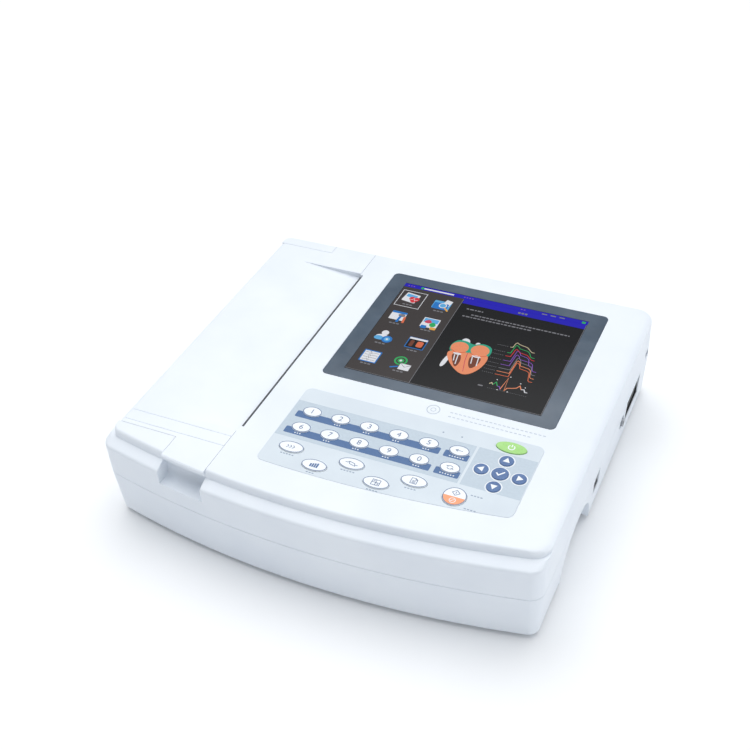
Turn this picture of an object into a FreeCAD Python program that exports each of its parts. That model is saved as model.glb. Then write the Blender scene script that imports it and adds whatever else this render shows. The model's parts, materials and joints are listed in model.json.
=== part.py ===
"""Portable electrocardiograph: a low desktop recorder with a bowed front, a printer lid on the
left, a display window and a keypad.  One STEP file is written for each separate piece.

Frame: X to the right, Y to the back, Z up, millimetres.  The origin is on the table, under the
centre of the case.
"""
import FreeCAD, Part
import os
from math import atan2, cos, pi, radians, sin, sqrt, tan

V = FreeCAD.Vector

# ---------------------------------------------------------------- driving dimensions
HALF_WIDTH = 172.5          # outer side walls at the seam
HALF_DEPTH = 154.5          # back wall, and the foremost point of the bowed front
TOP = 80.0                  # flat control deck
FOOT_HEIGHT = 3.0
SEAM = 43.0                 # split between the two case halves
FRONT_SAG = 19.0            # how far the front bows out beyond its corners
CORNER_RADIUS = 11.0
WALL = 2.5
BASE_TAPER = 2.5            # the lower walls lean in by this much
LEDGE_TOP, LEDGE_LOW = 73.5, 70.0
DECK_LEFT = -166.4
LID_EDGE_RADIUS, LID_BOTTOM = 3.0, 74.0

SEAM_GAP = 0.35             # visible gap around the lid
SEAM_GROOVE = 0.5           # shadow line where the case halves meet
LID_RIGHT = -76.8
TAB_LEFT = -116.0
LID_FRONT, LID_REAR = -117.2, 143.0
SLOT_LEFT, SLOT_RIGHT, SLOT_FRONT, SLOT_REAR = -78.4, -74.0, -89.3, 120.1
HINGE_X, HINGE_Z = DECK_LEFT + LID_EDGE_RADIUS, TOP - LID_EDGE_RADIUS
HINGE_PIN_RADIUS = 1.5
DIP_LEFT, DIP_DEPTH, DIP_FRONT, DIP_REAR = -133.5, 4.7, -95.0, 122.0

PAPER_WIDTH = 210.0
PAPER_MIDDLE = (SLOT_FRONT + SLOT_REAR) / 2
BAY_FRONT, BAY_REAR = PAPER_MIDDLE - 107.5, PAPER_MIDDLE + 107.5
ROLL_X, ROLL_Z, ROLL_RADIUS, CORE_RADIUS = -128.0, 38.0, 24.5, 8.0
PLATEN_X, PLATEN_Z, PLATEN_RADIUS, SHAFT_RADIUS = -86.5, 64.5, 7.0, 3.0
RUNNING = 0.05              # radial clearance of a running fit

MODULE = 1.0                # gear train between the stepper and the platen
PLATEN_TEETH, IDLER_TEETH, PINION_TEETH = 16, 30, 12
PINION_ANGLE = radians(-15)
GEAR_Y0, GEAR_Y1 = -107.0, -102.5
MOTOR_RADIUS, MOTOR_LENGTH = 17.0, 22.0

WINDOW = (-49.0, 140.3, -12.0, 134.0)       # display glass: left, right, front, rear
ACTIVE = (-35.0, 127.5, -0.8, 121.8)        # lit area of the display
KEYPAD = (-49.5, 140.6, -31.7)              # keypad sheet: left, right, rear
KEYPAD_FRONT = (-115.6, -115.6, -104.4)     # its bowed front edge: left end, at x = 40, right end
SHEET_TOP = TOP + 0.2
KEY_TOP = SHEET_TOP + 0.8

SIDE_Z, REAR_Z = 30.0, 22.0   # height of the sockets in the right and in the back wall

# Every key: name, centre x, centre y, half length, half width.
NUMBER_X = [-33.0 + 23.55 * i for i in range(5)]
ROW_Y = (-56.9, -75.1)
NUMBER_KEYS = [(str((i + 1) % 10), NUMBER_X[i % 5], ROW_Y[i // 5], 7.5, 5.2) for i in range(10)]
KEYS = NUMBER_KEYS + [
    ("backspace", 84.6, ROW_Y[0], 7.5, 5.2),
    ("shift", 84.6, ROW_Y[1], 7.5, 5.2),
    ("speed", -29.9, -96.6, 9.8, 5.4),
    ("gain", -5.8, -107.6, 9.8, 5.4),
    ("filter", 18.5, -96.6, 9.8, 5.4),
    ("mode", 42.3, -107.6, 9.8, 5.4),
    ("print", 66.4, -96.6, 9.8, 5.4),
    ("start", 97.8, -100.1, 8.5, 8.5),
    ("power", 117.9, -40.6, 11.4, 5.4),
    ("up", 119.2, -54.5, 5.1, 5.1),
    ("down", 119.2, -81.7, 5.1, 5.1),
    ("left", 105.2, -68.2, 5.1, 5.1),
    ("right", 133.2, -68.2, 5.1, 5.1),
    ("ok", 119.2, -68.2, 6.0, 6.0),
]


# ---------------------------------------------------------------- small helpers
def box(x0, x1, y0, y1, z0, z1):
    return Part.makeBox(x1 - x0, y1 - y0, z1 - z0, V(x0, y0, z0))


def rod(axis, radius, a, b, start, end):
    """A cylinder along axis; a and b are its centre's other two coordinates, in X, Y, Z order."""
    spots = {"x": V(start, a, b), "y": V(a, start, b), "z": V(a, b, start)}
    ways = {"x": V(1, 0, 0), "y": V(0, 1, 0), "z": V(0, 0, 1)}
    return Part.makeCylinder(radius, end - start, spots[axis], ways[axis])


def prism_y(points, y0, y1):
    """A prism along Y from (x, z) points."""
    wire = Part.makePolygon([V(x, y0, z) for x, z in points + points[:1]])
    return Part.Face(wire).extrude(V(0, y1 - y0, 0))


def join(shapes):
    shape = shapes[0]
    for other in shapes[1:]:
        shape = shape.fuse(other)
    return shape.removeSplitter()


def cut(shape, tools):
    for tool in tools:
        shape = shape.cut(tool)
    return shape


def upright_edges(shape):
    edges = []
    for edge in shape.Edges:
        a, b = edge.Vertexes[0].Point, edge.Vertexes[-1].Point
        if abs(a.z - b.z) > 0.2 and abs(a.x - b.x) < 0.01 and abs(a.y - b.y) < 0.01:
            edges.append(edge)
    return edges


def slab(x0, x1, y0, y1, z0, z1, radius):
    """A plate with rounded upright corners."""
    plate = box(x0, x1, y0, y1, z0, z1)
    return plate.makeFillet(radius, upright_edges(plate))


def slab_y(x0, x1, y0, y1, z0, z1, radius):
    """A block whose four edges along Y are rounded."""
    block = box(x0, x1, y0, y1, z0, z1)
    along = [edge for edge in block.Edges if edge.BoundBox.YLength > 0.9 * (y1 - y0)]
    return block.makeFillet(radius, along)


def oval(x, y, half_length, half_width, z0, z1):
    if abs(half_length - half_width) < 0.01:
        return rod("z", half_length, x, y, z0, z1)
    edge = Part.Ellipse(V(x, y, z0), half_length, half_width).toShape()
    return Part.Face(Part.Wire(edge)).extrude(V(0, 0, z1 - z0))


# ---------------------------------------------------------------- case outline
FRONT_RADIUS = (HALF_WIDTH ** 2 + FRONT_SAG ** 2) / (2 * FRONT_SAG)


def outline(z, left=0.0, right=0.0, front=0.0, back=0.0, height=1.0, turn=None):
    """The plan of the case as a thin slab, moved in by the given amount on each side.

    turn sets the radius of the right front corner where it differs from the others.
    """
    radius = FRONT_RADIUS - front
    middle = V(0, FRONT_RADIUS - HALF_DEPTH, z)
    x0, x1, y1 = left - HALF_WIDTH, HALF_WIDTH - right, HALF_DEPTH - back

    def on_front(x):
        return V(x, middle.y - sqrt(radius ** 2 - x ** 2), z)

    corners = [
        (V(x1, y1, z), CORNER_RADIUS - max(right, back)),
        (V(x0, y1, z), CORNER_RADIUS - max(left, back)),
        (on_front(x0), CORNER_RADIUS - max(left, front)),
        (on_front(x1), turn or CORNER_RADIUS - max(right, front)),
    ]
    points = [corner for corner, _ in corners]
    edges = [
        Part.makeLine(points[3], points[0]),
        Part.makeLine(points[0], points[1]),
        Part.makeLine(points[1], points[2]),
        Part.Arc(points[2], on_front(0.0), points[3]).toShape(),
    ]
    plan = Part.Face(Part.Wire(edges)).extrude(V(0, 0, height))
    for corner, size in corners:
        here = [edge for edge in upright_edges(plan)
                if edge.Vertexes[0].Point.sub(corner).Length < height + 0.01
                and abs(edge.Vertexes[0].X - corner.x) < 0.01]
        plan = plan.makeFillet(max(size, 6.0), here)
    return plan


def outline_wire(z, **insets):
    thin = outline(z, **insets)
    lowest = min(thin.Faces, key=lambda face: face.CenterOfMass.z)
    return lowest.OuterWire


def outline_stack(sections):
    """A solid through several plans, given as (height, insets)."""
    return Part.makeLoft([outline_wire(z, **insets) for z, insets in sections], True, True)


def edges_at(shape, z, keep=lambda point: True):
    """Edges that lie flat at height z and whose middle passes the test."""
    found = []
    for edge in shape.Edges:
        bounds = edge.BoundBox
        if abs(bounds.ZMin - z) < 0.02 and abs(bounds.ZMax - z) < 0.02 and keep(bounds.Center):
            found.append(edge)
    return found


# Rounded step from the wall to the sloping ledge: height, inset at the left, inset at the front.
SHOULDER = [(68.4, 0.0, 0.0), (69.5, 0.1, 0.35), (70.25, 0.3, 1.1), (70.7, 0.5, 2.1),
            (LEDGE_TOP, 2.0, 9.0)]
# Outside of the raised deck: height, inset at the front, right and back, right front corner.
DECK_EDGE = [(LEDGE_TOP, 9.7, 0.0, 0.0, 14.0), (76.4, 10.0, 0.0, 0.0, 14.0),
             (78.0, 10.3, 1.8, 0.2, 13.0), (79.0, 10.8, 4.8, 0.6, 11.0),
             (79.7, 11.6, 8.6, 1.1, 9.0), (TOP, 12.8, 12.0, 1.8, 8.0)]


def upper_body():
    """Solid outside of the upper half: straight walls, a sloping ledge, and the raised deck."""
    rim = [(SEAM, {})]
    rim += [(z, dict(left=left, front=front)) for z, left, front in SHOULDER]
    left = DECK_LEFT + HALF_WIDTH
    deck = [(z, dict(left=left, front=front, right=right, back=back, turn=turn))
            for z, front, right, back, turn in DECK_EDGE]
    return join([outline_stack(rim), outline_stack(deck)])


def lower_body(inset=0.0, floor=FOOT_HEIGHT):
    low = {side: BASE_TAPER + inset for side in ("left", "right", "front")}
    high = {side: inset for side in ("left", "right", "front", "back")}
    low["back"] = inset
    return outline_stack([(floor, low), (SEAM, high)])


# ---------------------------------------------------------------- places shared by several pieces
def lid_region(gap, z0):
    """The space of the lid and its two tabs, moved in by gap all round."""
    panel = box(-HALF_WIDTH - 5, LID_RIGHT - gap, LID_FRONT + gap, LID_REAR - gap, z0, TOP + 5)
    tabs = box(TAB_LEFT + gap, LID_RIGHT - gap, -HALF_DEPTH, HALF_DEPTH + 1, z0, TOP + 5)
    return join([panel, tabs])


def grip_pocket(grow, z1):
    """Finger recess in the front wall, below the lid's front tab."""
    pocket = box(TAB_LEFT - grow, LID_RIGHT + grow, -HALF_DEPTH - 5, -133.0 + grow, 58.0 - grow, z1)
    back = [edge for edge in pocket.Edges
            if edge.BoundBox.YMin > -134 and edge.BoundBox.ZMax < 59]
    return pocket.makeFillet(6.0, back)


def side_scoop(grow):
    """Shallow carrying recess at the foot of the right wall."""
    return rod("x", 35.0 + grow, -47.0, FOOT_HEIGHT, HALF_WIDTH - 8.5 - grow, HALF_WIDTH + 5)


def rear_recess(grow):
    """Recess in the back wall that keeps the rear sockets inside the case's outline."""
    return slab_y(16.0 - grow, 140.0 + grow, REAR_PANEL - grow, HALF_DEPTH + 5, 8.0 - grow,
                  36.0 + grow, 3.0)


def keypad_plan(inset, z0, z1):
    x0, x1, y1 = KEYPAD[0] + inset, KEYPAD[1] - inset, KEYPAD[2] - inset
    left, middle, right = [y + inset for y in KEYPAD_FRONT]
    edges = [
        Part.makeLine(V(x1, right, z0), V(x1, y1, z0)),
        Part.makeLine(V(x1, y1, z0), V(x0, y1, z0)),
        Part.makeLine(V(x0, y1, z0), V(x0, left, z0)),
        Part.Arc(V(x0, left, z0), V(40, middle, z0), V(x1, right, z0)).toShape(),
    ]
    plan = Part.Face(Part.Wire(edges)).extrude(V(0, 0, z1 - z0))
    return plan.makeFillet(max(5.5 - inset, 2.0), upright_edges(plan))


SCREW_SPOTS = [(-40.0, -132.0), (150.0, -118.0), (150.0, 139.0), (-40.0, 141.0)]
FEET_SPOTS = [(-145.0, -118.0), (140.0, -100.0), (140.0, 124.0), (-145.0, 124.0)]
BATTERY = (10.0, 120.0, -75.0, 15.0)
PATIENT_Y, AUX_Y, USB_Y = 102.0, 70.0, -1.0
INLET_X, ROCKER_X, STUD_X, LAN_X = 95.0, 123.0, 58.0, 30.0
WALL_RIGHT = HALF_WIDTH - BASE_TAPER * (SEAM - SIDE_Z) / (SEAM - FOOT_HEIGHT)
REAR_PANEL = HALF_DEPTH - 9.5          # the rear sockets sit in a recess


# ---------------------------------------------------------------- case halves
def base_case():
    shell = lower_body()
    shell = shell.makeFillet(2.5, edges_at(shell, FOOT_HEIGHT))
    floor = FOOT_HEIGHT + WALL
    shell = shell.cut(lower_body(WALL, floor))
    x0, x1, y0, y1 = BATTERY
    tub = box(x0 - 2, x1 + 2, y0 - 2, y1 + 2, FOOT_HEIGHT + 1, 32.0)
    tub = tub.cut(box(x0, x1, y0, y1, FOOT_HEIGHT, 30.0))
    tubes = [rod("z", 4.5, x, y, floor - 0.5, SEAM) for x, y in SCREW_SPOTS]
    liner = side_scoop(2.0).common(lower_body())
    shell = join([shell, tub, liner, rear_recess(2.2).common(lower_body())] + tubes)
    openings = [
        rear_recess(0.0),
        box(x0 - 4, x1 + 4, y0 - 4, y1 + 4, FOOT_HEIGHT - 1, FOOT_HEIGHT + 2.0),
        box(x0, x1, y0, y1, FOOT_HEIGHT, floor + 1),
        side_scoop(0.0),
        box(155, 175, PATIENT_Y - 20, PATIENT_Y + 20, SIDE_Z - 10.5, SIDE_Z + 10.5),
        rod("x", 6.0, AUX_Y, SIDE_Z, 155, 175),
        box(155, 175, USB_Y - 7.5, USB_Y + 7.5, SIDE_Z - 8.2, SIDE_Z + 8.2),
        box(INLET_X - 14, INLET_X + 14, 130, 160, REAR_Z - 10.5, REAR_Z + 10.5),
        box(ROCKER_X - 10, ROCKER_X + 10, 130, 160, REAR_Z - 7.5, REAR_Z + 7.5),
        rod("y", 3.6, STUD_X, REAR_Z, 130, 160),
        box(LAN_X - 8.5, LAN_X + 8.5, 130, 160, REAR_Z - 7.2, REAR_Z + 7.2),
    ]
    for x, y in SCREW_SPOTS:
        openings.append(rod("z", 1.7, x, y, 0, SEAM + 1))
        openings.append(rod("z", 3.6, x, y, 0, FOOT_HEIGHT + 1.5))
    for i in range(7):
        openings.append(box(-30 + 9 * i, -25 + 9 * i, 60, 100, 0, floor + 1))
    return cut(shell, openings)


def top_case():
    body = upper_body()
    inner_walls = {side: WALL for side in ("left", "right", "front", "back")}
    cavity = outline(SEAM - 1, height=LEDGE_LOW - WALL - SEAM + 1, **inner_walls)
    under_deck = outline_stack([(LEDGE_LOW - 3.5, dict(left=8.6, right=4.0, front=12.3, back=3.0)),
                                (TOP - WALL, dict(left=8.6, right=8.0, front=13.0, back=3.5))])
    shell = cut(body, [cavity, under_deck])
    blocks = [grip_pocket(2.2, LEDGE_TOP).common(body)]
    for y0, y1 in ((LID_FRONT - 10, LID_FRONT), (LID_REAR, LID_REAR + 6)):
        blocks.append(box(DECK_LEFT, -150, y0, y1, 66, TOP - 0.5).common(body))
    blocks += [rod("z", 4.5, x, y, SEAM, TOP - 2) for x, y in SCREW_SPOTS]
    shell = join([shell] + blocks)
    rim = lid_region(0.0, 60.0)
    behind_ledge = box(DECK_LEFT - 0.4, 0, -200, 200, 40, 100)
    floors = [box(-200, 0, -200, -131, 40, LEDGE_TOP),
              box(-200, 0, HALF_DEPTH - WALL, 200, 40, LEDGE_TOP)]
    openings = [
        cut(rim.common(behind_ledge), floors),
        box(LID_RIGHT - 1, SLOT_RIGHT, SLOT_FRONT, SLOT_REAR, 60, TOP + 5),
        grip_pocket(0.0, TOP + 5).cut(box(-200, 0, -200, -130, LEDGE_TOP, 100)),
        box(HALF_WIDTH - 6, HALF_WIDTH + 2, 134, 143, SEAM + 2, SEAM + 8),
        slab(*WINDOW, TOP - 1.8, TOP + 5, 4.5),
        box(ACTIVE[0] - 3, ACTIVE[1] + 3, ACTIVE[2] - 3, ACTIVE[3] + 3, 60, TOP + 5),
        keypad_plan(-0.1, SHEET_TOP - 0.9, TOP + 5),
        keypad_plan(1.0, 60, TOP + 5),
        rod("y", HINGE_PIN_RADIUS, HINGE_X, HINGE_Z, LID_FRONT - 8, LID_FRONT + 1),
        rod("y", HINGE_PIN_RADIUS, HINGE_X, HINGE_Z, LID_REAR - 1, LID_REAR + 5),
    ]
    for x, y in SCREW_SPOTS:
        openings.append(rod("z", 1.6, x, y, SEAM - 1, SEAM + 16))
    inner_step = {side: SEAM_GROOVE for side in ("left", "right", "front", "back")}
    openings.append(outline(SEAM, height=SEAM_GROOVE).cut(outline(SEAM - 1, height=3, **inner_step)))
    shell = cut(shell, openings)
    return max(shell.Solids, key=lambda solid: solid.Volume)


# ---------------------------------------------------------------- lid
def dip_height(x):
    """Top of the lid where it falls away towards the paper slot."""
    return TOP - DIP_DEPTH * (x - DIP_LEFT) / (LID_RIGHT - DIP_LEFT)


def lid_skin():
    """The lid with its tabs, cut out of the case's own outside."""
    skin = upper_body().common(lid_region(SEAM_GAP, LID_BOTTOM))
    inside = dict(left=9.0, front=12.8, back=3.5)
    skin = skin.cut(outline_stack([(LID_BOTTOM - 1, inside), (TOP - 2.8, inside)]))
    lip = outline_stack([(TOP - 2.8, dict(front=8.0)), (TOP - 0.7, dict(front=8.0)),
                         (TOP, dict(front=9.0))])
    lip = lip.common(box(TAB_LEFT + SEAM_GAP, LID_RIGHT - SEAM_GAP, -200, -125, 60, 100))
    skin = skin.fuse(lip)
    front, rear = LID_FRONT + SEAM_GAP, LID_REAR - SEAM_GAP
    skin = skin.cut(box(-200, HINGE_X, -200, 200, 60, 100))
    barrel = rod("y", LID_EDGE_RADIUS, HINGE_X, HINGE_Z, front, rear)
    apron = prism_y([(DIP_LEFT - 1, TOP - 3.4), (LID_RIGHT - SEAM_GAP, TOP - 3.4 - DIP_DEPTH),
                     (LID_RIGHT - SEAM_GAP, TOP - 1), (DIP_LEFT - 1, TOP - 1)],
                    DIP_FRONT - 2.5, DIP_REAR + 2.5)
    lid = join([skin, barrel, apron])
    far = LID_RIGHT + 5
    dip = prism_y([(DIP_LEFT, TOP), (far, dip_height(far)), (far, TOP + 5), (DIP_LEFT, TOP + 5)],
                  DIP_FRONT, DIP_REAR)
    pins = [rod("y", HINGE_PIN_RADIUS + RUNNING, HINGE_X, HINGE_Z, front - 1, front + 15),
            rod("y", HINGE_PIN_RADIUS + RUNNING, HINGE_X, HINGE_Z, rear - 15, rear + 1)]
    slot = box(SLOT_LEFT, 0, SLOT_FRONT, SLOT_REAR, 60, 100)
    return cut(lid, [dip, slot] + pins)


END_FRONT, END_REAR = -113.0, 139.3


def lid_cheek(y0, y1):
    """An ear below the lid that carries one end of the platen shaft."""
    ear = prism_y([(PLATEN_X - 9, TOP - 2.5), (PLATEN_X - 6, PLATEN_Z), (PLATEN_X + 6, PLATEN_Z),
                   (PLATEN_X + 7, TOP - 2.5)], y0, y1)
    return join([ear, rod("y", 6.0, PLATEN_X, PLATEN_Z, y0, y1)])


def lid_panel():
    panel = lid_skin().common(box(-200, 0, END_FRONT, END_REAR, 0, 100))
    panel = join([panel, lid_cheek(-100.0, -97.4), lid_cheek(128.0, 130.6)])
    grooves = [box(HINGE_X, LID_RIGHT, y - 0.2, y + 0.2, TOP - 0.5, TOP + 1) for y in (-101.9, -112.8)]
    bore = rod("y", SHAFT_RADIUS + RUNNING, PLATEN_X, PLATEN_Z, -130, 140)
    return cut(panel, grooves + [bore])


def lid_end(front):
    low, high = (-200, END_FRONT) if front else (END_REAR, 200)
    piece = lid_skin().common(box(-200, 0, low, high, 0, 100))
    return max(piece.Solids, key=lambda solid: solid.Volume)


def lid_hinge_pins():
    front = rod("y", HINGE_PIN_RADIUS, HINGE_X, HINGE_Z, LID_FRONT - 8, LID_FRONT + 12)
    rear = rod("y", HINGE_PIN_RADIUS, HINGE_X, HINGE_Z, LID_REAR - 12, LID_REAR + 5)
    return Part.makeCompound([front, rear])


# ---------------------------------------------------------------- gear train
def involute(angle):
    return tan(angle) - angle


def gear(teeth, x, z, phase, y0, y1, bore):
    """A spur gear about Y; phase is the angle of one tooth, from +X towards +Z."""
    pitch = teeth * MODULE / 2
    base = pitch * cos(radians(20))
    root, tip = pitch - 1.15 * MODULE, pitch + 0.85 * MODULE
    half_at_pitch = pi / (2 * teeth) * 0.90
    profile = []
    steps = [root, max(base, root) + 0.02, pitch, (pitch + tip) / 2, tip]
    for radius in steps:
        spread = 0.0
        if radius > base:
            spread = involute(atan2(sqrt(radius ** 2 - base ** 2), base))
        half = half_at_pitch + involute(radians(20)) - spread
        profile.append((radius, half))
    points = []
    for tooth in range(teeth):
        middle = phase + 2 * pi * tooth / teeth
        flank = [(r, middle - half) for r, half in profile]
        flank += [(r, middle + half) for r, half in reversed(profile)]
        points += [(x + r * cos(a), z + r * sin(a)) for r, a in flank]
    wheel = prism_y(points, y0, y1)
    if bore:
        wheel = wheel.cut(rod("y", bore, x, z, y0 - 1, y1 + 1))
    return wheel


# The lid swings up about the hinge, so the idler sits straight below the platen's first motion.
OUT_X, OUT_Z = PLATEN_X - HINGE_X, PLATEN_Z - HINGE_Z
MESH_ANGLE = atan2(-OUT_X, OUT_Z)
PLATEN_IDLER = MODULE * (PLATEN_TEETH + IDLER_TEETH) / 2
IDLER_PINION = MODULE * (IDLER_TEETH + PINION_TEETH) / 2
IDLER_X = PLATEN_X + PLATEN_IDLER * cos(MESH_ANGLE)
IDLER_Z = PLATEN_Z + PLATEN_IDLER * sin(MESH_ANGLE)
PINION_X = IDLER_X + IDLER_PINION * cos(PINION_ANGLE)
PINION_Z = IDLER_Z + IDLER_PINION * sin(PINION_ANGLE)
IDLER_PHASE = MESH_ANGLE + pi + pi / IDLER_TEETH
PINION_LAG = (PINION_ANGLE - IDLER_PHASE) * IDLER_TEETH / PINION_TEETH
PINION_PHASE = PINION_ANGLE + pi + PINION_LAG + pi / PINION_TEETH


def platen_gear():
    wheel = gear(PLATEN_TEETH, PLATEN_X, PLATEN_Z, MESH_ANGLE, GEAR_Y0, GEAR_Y1, 0)
    return wheel.cut(rod("y", SHAFT_RADIUS, PLATEN_X, PLATEN_Z, GEAR_Y0 - 1, GEAR_Y1 + 1))


def idler_gear():
    wheel = gear(IDLER_TEETH, IDLER_X, IDLER_Z, IDLER_PHASE, GEAR_Y0, GEAR_Y1, SHAFT_RADIUS + RUNNING)
    holes = [rod("y", 2.4, IDLER_X + 8.5 * cos(2 * pi * i / 5), IDLER_Z + 8.5 * sin(2 * pi * i / 5),
                 GEAR_Y0 - 1, GEAR_Y1 + 1) for i in range(5)]
    return cut(wheel, holes)


def motor_pinion():
    wheel = gear(PINION_TEETH, PINION_X, PINION_Z, PINION_PHASE, GEAR_Y0, GEAR_Y1, 0)
    shaft = rod("y", 1.5, PINION_X, PINION_Z, GEAR_Y0 - 22, GEAR_Y0 + 1)
    return join([wheel, shaft])


MOTOR_REAR = -109.6


def stepper_motor():
    front = MOTOR_REAR - MOTOR_LENGTH
    can = rod("y", MOTOR_RADIUS, PINION_X, PINION_Z, front, MOTOR_REAR - 1)
    ears = box(PINION_X - 21, PINION_X + 21, MOTOR_REAR - 1, MOTOR_REAR, PINION_Z - 5, PINION_Z + 5)
    ears = ears.makeFillet(4.5, [edge for edge in ears.Edges if edge.BoundBox.YLength > 0.9
                                 and edge.BoundBox.XLength < 0.1])
    rim = rod("y", MOTOR_RADIUS, PINION_X, PINION_Z, MOTOR_REAR - 1, MOTOR_REAR)
    boss = rod("y", 4.5, PINION_X, PINION_Z, MOTOR_REAR, MOTOR_REAR + 1.2)
    plug = box(PINION_X - 7, PINION_X + 7, front + 4, front + 12, PINION_Z - 21, PINION_Z - 14)
    bore = rod("y", 1.6, PINION_X, PINION_Z, front - 1, MOTOR_REAR + 3)
    return join([can, ears, rim, boss, plug]).cut(bore)


# ---------------------------------------------------------------- printer
PLATE = 3.0
FRAME_LEFT, FRAME_RIGHT = -160.0, -69.0
TEAR_TOP = TOP - WALL - 0.3


def printer_frame():
    """Floor, two side plates with open bearings, a motor bracket, and the bar that tears the paper."""
    floor_z = 8.0
    plates = []
    for y0 in (BAY_FRONT - PLATE, BAY_REAR):
        plates.append(prism_y([(FRAME_LEFT, floor_z), (FRAME_RIGHT, floor_z), (FRAME_RIGHT, 66.0),
                               (PLATEN_X - 10, 69.5), (-105, 62.0), (FRAME_LEFT, 58.0)],
                              y0, y0 + PLATE))
    floor = box(FRAME_LEFT, FRAME_RIGHT, BAY_FRONT, BAY_REAR, floor_z, floor_z + 2.5)
    left = box(FRAME_LEFT, FRAME_LEFT + 2.5, BAY_FRONT, BAY_REAR, floor_z, 56.0)
    right = box(FRAME_RIGHT - 2.5, FRAME_RIGHT, BAY_FRONT, BAY_REAR, floor_z, 56.2)
    apron = box(-105, -45, MOTOR_REAR, BAY_FRONT - PLATE, floor_z, floor_z + 2.5)
    bracket = box(-105, -45, MOTOR_REAR, MOTOR_REAR + 1.5, floor_z, 57.0)
    axle = rod("y", SHAFT_RADIUS, IDLER_X, IDLER_Z, GEAR_Y0 - 1, BAY_FRONT - 1)
    collar = rod("y", 5.0, IDLER_X, IDLER_Z, GEAR_Y1 + 0.3, BAY_FRONT - 1)
    feet = [box(x - 5, x + 5, y - 5, y + 5, FOOT_HEIGHT + WALL, floor_z + 1)
            for x in (-150, -80) for y in (-80, 110)]
    horns = [box(-76.3, -72.0, y0, y0 + PLATE, 60.0, TEAR_TOP) for y0 in (BAY_FRONT - PLATE, BAY_REAR)]
    tear_bar = [box(-76.3, -72.0, BAY_FRONT, BAY_REAR, TEAR_TOP - 1.2, TEAR_TOP),
                box(-77.6, -76.0, SLOT_FRONT + 0.3, SLOT_REAR - 0.3, TEAR_TOP - 1.2, TEAR_TOP)]
    frame = join(plates + [floor, left, right, apron, bracket, axle, collar] + feet + horns + tear_bar)
    slot = PLATEN_X - SHAFT_RADIUS - 0.3, PLATEN_X + SHAFT_RADIUS + 0.8
    notches = [
        box(*slot, -130, BAY_REAR + 8, PLATEN_Z, 80),
        rod("y", SHAFT_RADIUS + 0.3, PLATEN_X, PLATEN_Z, -130, BAY_REAR + 8),
        box(ROLL_X - 4.3, ROLL_X + 4.3, -130, BAY_REAR + 8, ROLL_Z, 80),
        rod("y", 4.3, ROLL_X, ROLL_Z, -130, BAY_REAR + 8),
        rod("y", 4.6, PINION_X, PINION_Z, MOTOR_REAR - 1, MOTOR_REAR + 3),
    ]
    return cut(frame, notches)


def platen_roller():
    y0, y1 = PAPER_MIDDLE - 106, PAPER_MIDDLE + 106
    tube = rod("y", PLATEN_RADIUS, PLATEN_X, PLATEN_Z, y0, y1)
    return tube.cut(rod("y", SHAFT_RADIUS, PLATEN_X, PLATEN_Z, y0 - 1, y1 + 1))


def platen_shaft():
    return rod("y", SHAFT_RADIUS, PLATEN_X, PLATEN_Z, GEAR_Y0 - 0.5, 132.0)


HEAD_X = PLATEN_X + PLATEN_RADIUS + 0.9


def print_head():
    """Ceramic strip whose heated line faces the platen."""
    y0, y1 = PAPER_MIDDLE - 106, PAPER_MIDDLE + 106
    strip = box(HEAD_X + 0.2, HEAD_X + 1.5, y0, y1, PLATEN_Z - 8, PLATEN_Z + 4.5)
    line = box(HEAD_X, HEAD_X + 0.3, y0 + 2, y1 - 2, PLATEN_Z - 1, PLATEN_Z + 1)
    return join([strip, line])


def head_bracket():
    """Aluminium heat sink that carries the head, with fins behind it."""
    y0, y1 = PAPER_MIDDLE - 106, PAPER_MIDDLE + 106
    x0 = HEAD_X + 1.5
    plate = box(x0, x0 + 2.0, y0, y1, PLATEN_Z - 8, PLATEN_Z + 4.5)
    foot = box(x0, x0 + 11, y0, y1, PLATEN_Z - 7.5, PLATEN_Z - 5.5)
    fins = [box(x0 + 3.6 + 2.4 * i, x0 + 4.6 + 2.4 * i, y0, y1, PLATEN_Z - 6, PLATEN_Z - 1)
            for i in range(3)]
    return join([plate, foot] + fins)


def head_springs():
    """Four leaf springs that press the head towards the platen."""
    leaves = []
    x0 = HEAD_X + 12.5
    for i in range(4):
        y = PAPER_MIDDLE - 84 + 56 * i
        arm = box(x0, x0 + 0.8, y - 6, y + 6, 57.0, PLATEN_Z - 1.5)
        heel = box(x0 - 6.0, x0 + 0.8, y - 6, y + 6, 56.2, 57.0)
        leaves.append(join([arm, heel]))
    return Part.makeCompound(leaves)


def paper_roll():
    roll = rod("y", ROLL_RADIUS, ROLL_X, ROLL_Z, PAPER_MIDDLE - PAPER_WIDTH / 2,
               PAPER_MIDDLE + PAPER_WIDTH / 2)
    return roll.cut(rod("y", CORE_RADIUS, ROLL_X, ROLL_Z, -200, 200))


def paper_core():
    """Plastic spindle through the roll, with a journal at each end."""
    half = PAPER_WIDTH / 2
    core = rod("y", CORE_RADIUS, ROLL_X, ROLL_Z, PAPER_MIDDLE - half, PAPER_MIDDLE + half)
    journal = rod("y", 4.0, ROLL_X, ROLL_Z, BAY_FRONT - PLATE, BAY_REAR + PLATE)
    return join([core, journal])


# ---------------------------------------------------------------- display
def display_window():
    x0, x1, y0, y1 = WINDOW
    gap = 0.15
    plate = slab(x0 + gap, x1 - gap, y0 + gap, y1 - gap, TOP - 1.8, TOP + 0.2, 4.4)
    return plate.makeFillet(0.3, edges_at(plate, TOP + 0.2))


def lcd_panel():
    x0, x1, y0, y1 = ACTIVE
    glass = box(x0 - 2, x1 + 2, y0 - 2, y1 + 2, TOP - 4.5, TOP - 2.2)
    rest = box(x0 - 8, x1 + 7, y0 - 7, y1 + 8, TOP - 8.0, TOP - 4.5)
    return join([glass, rest])


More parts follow.
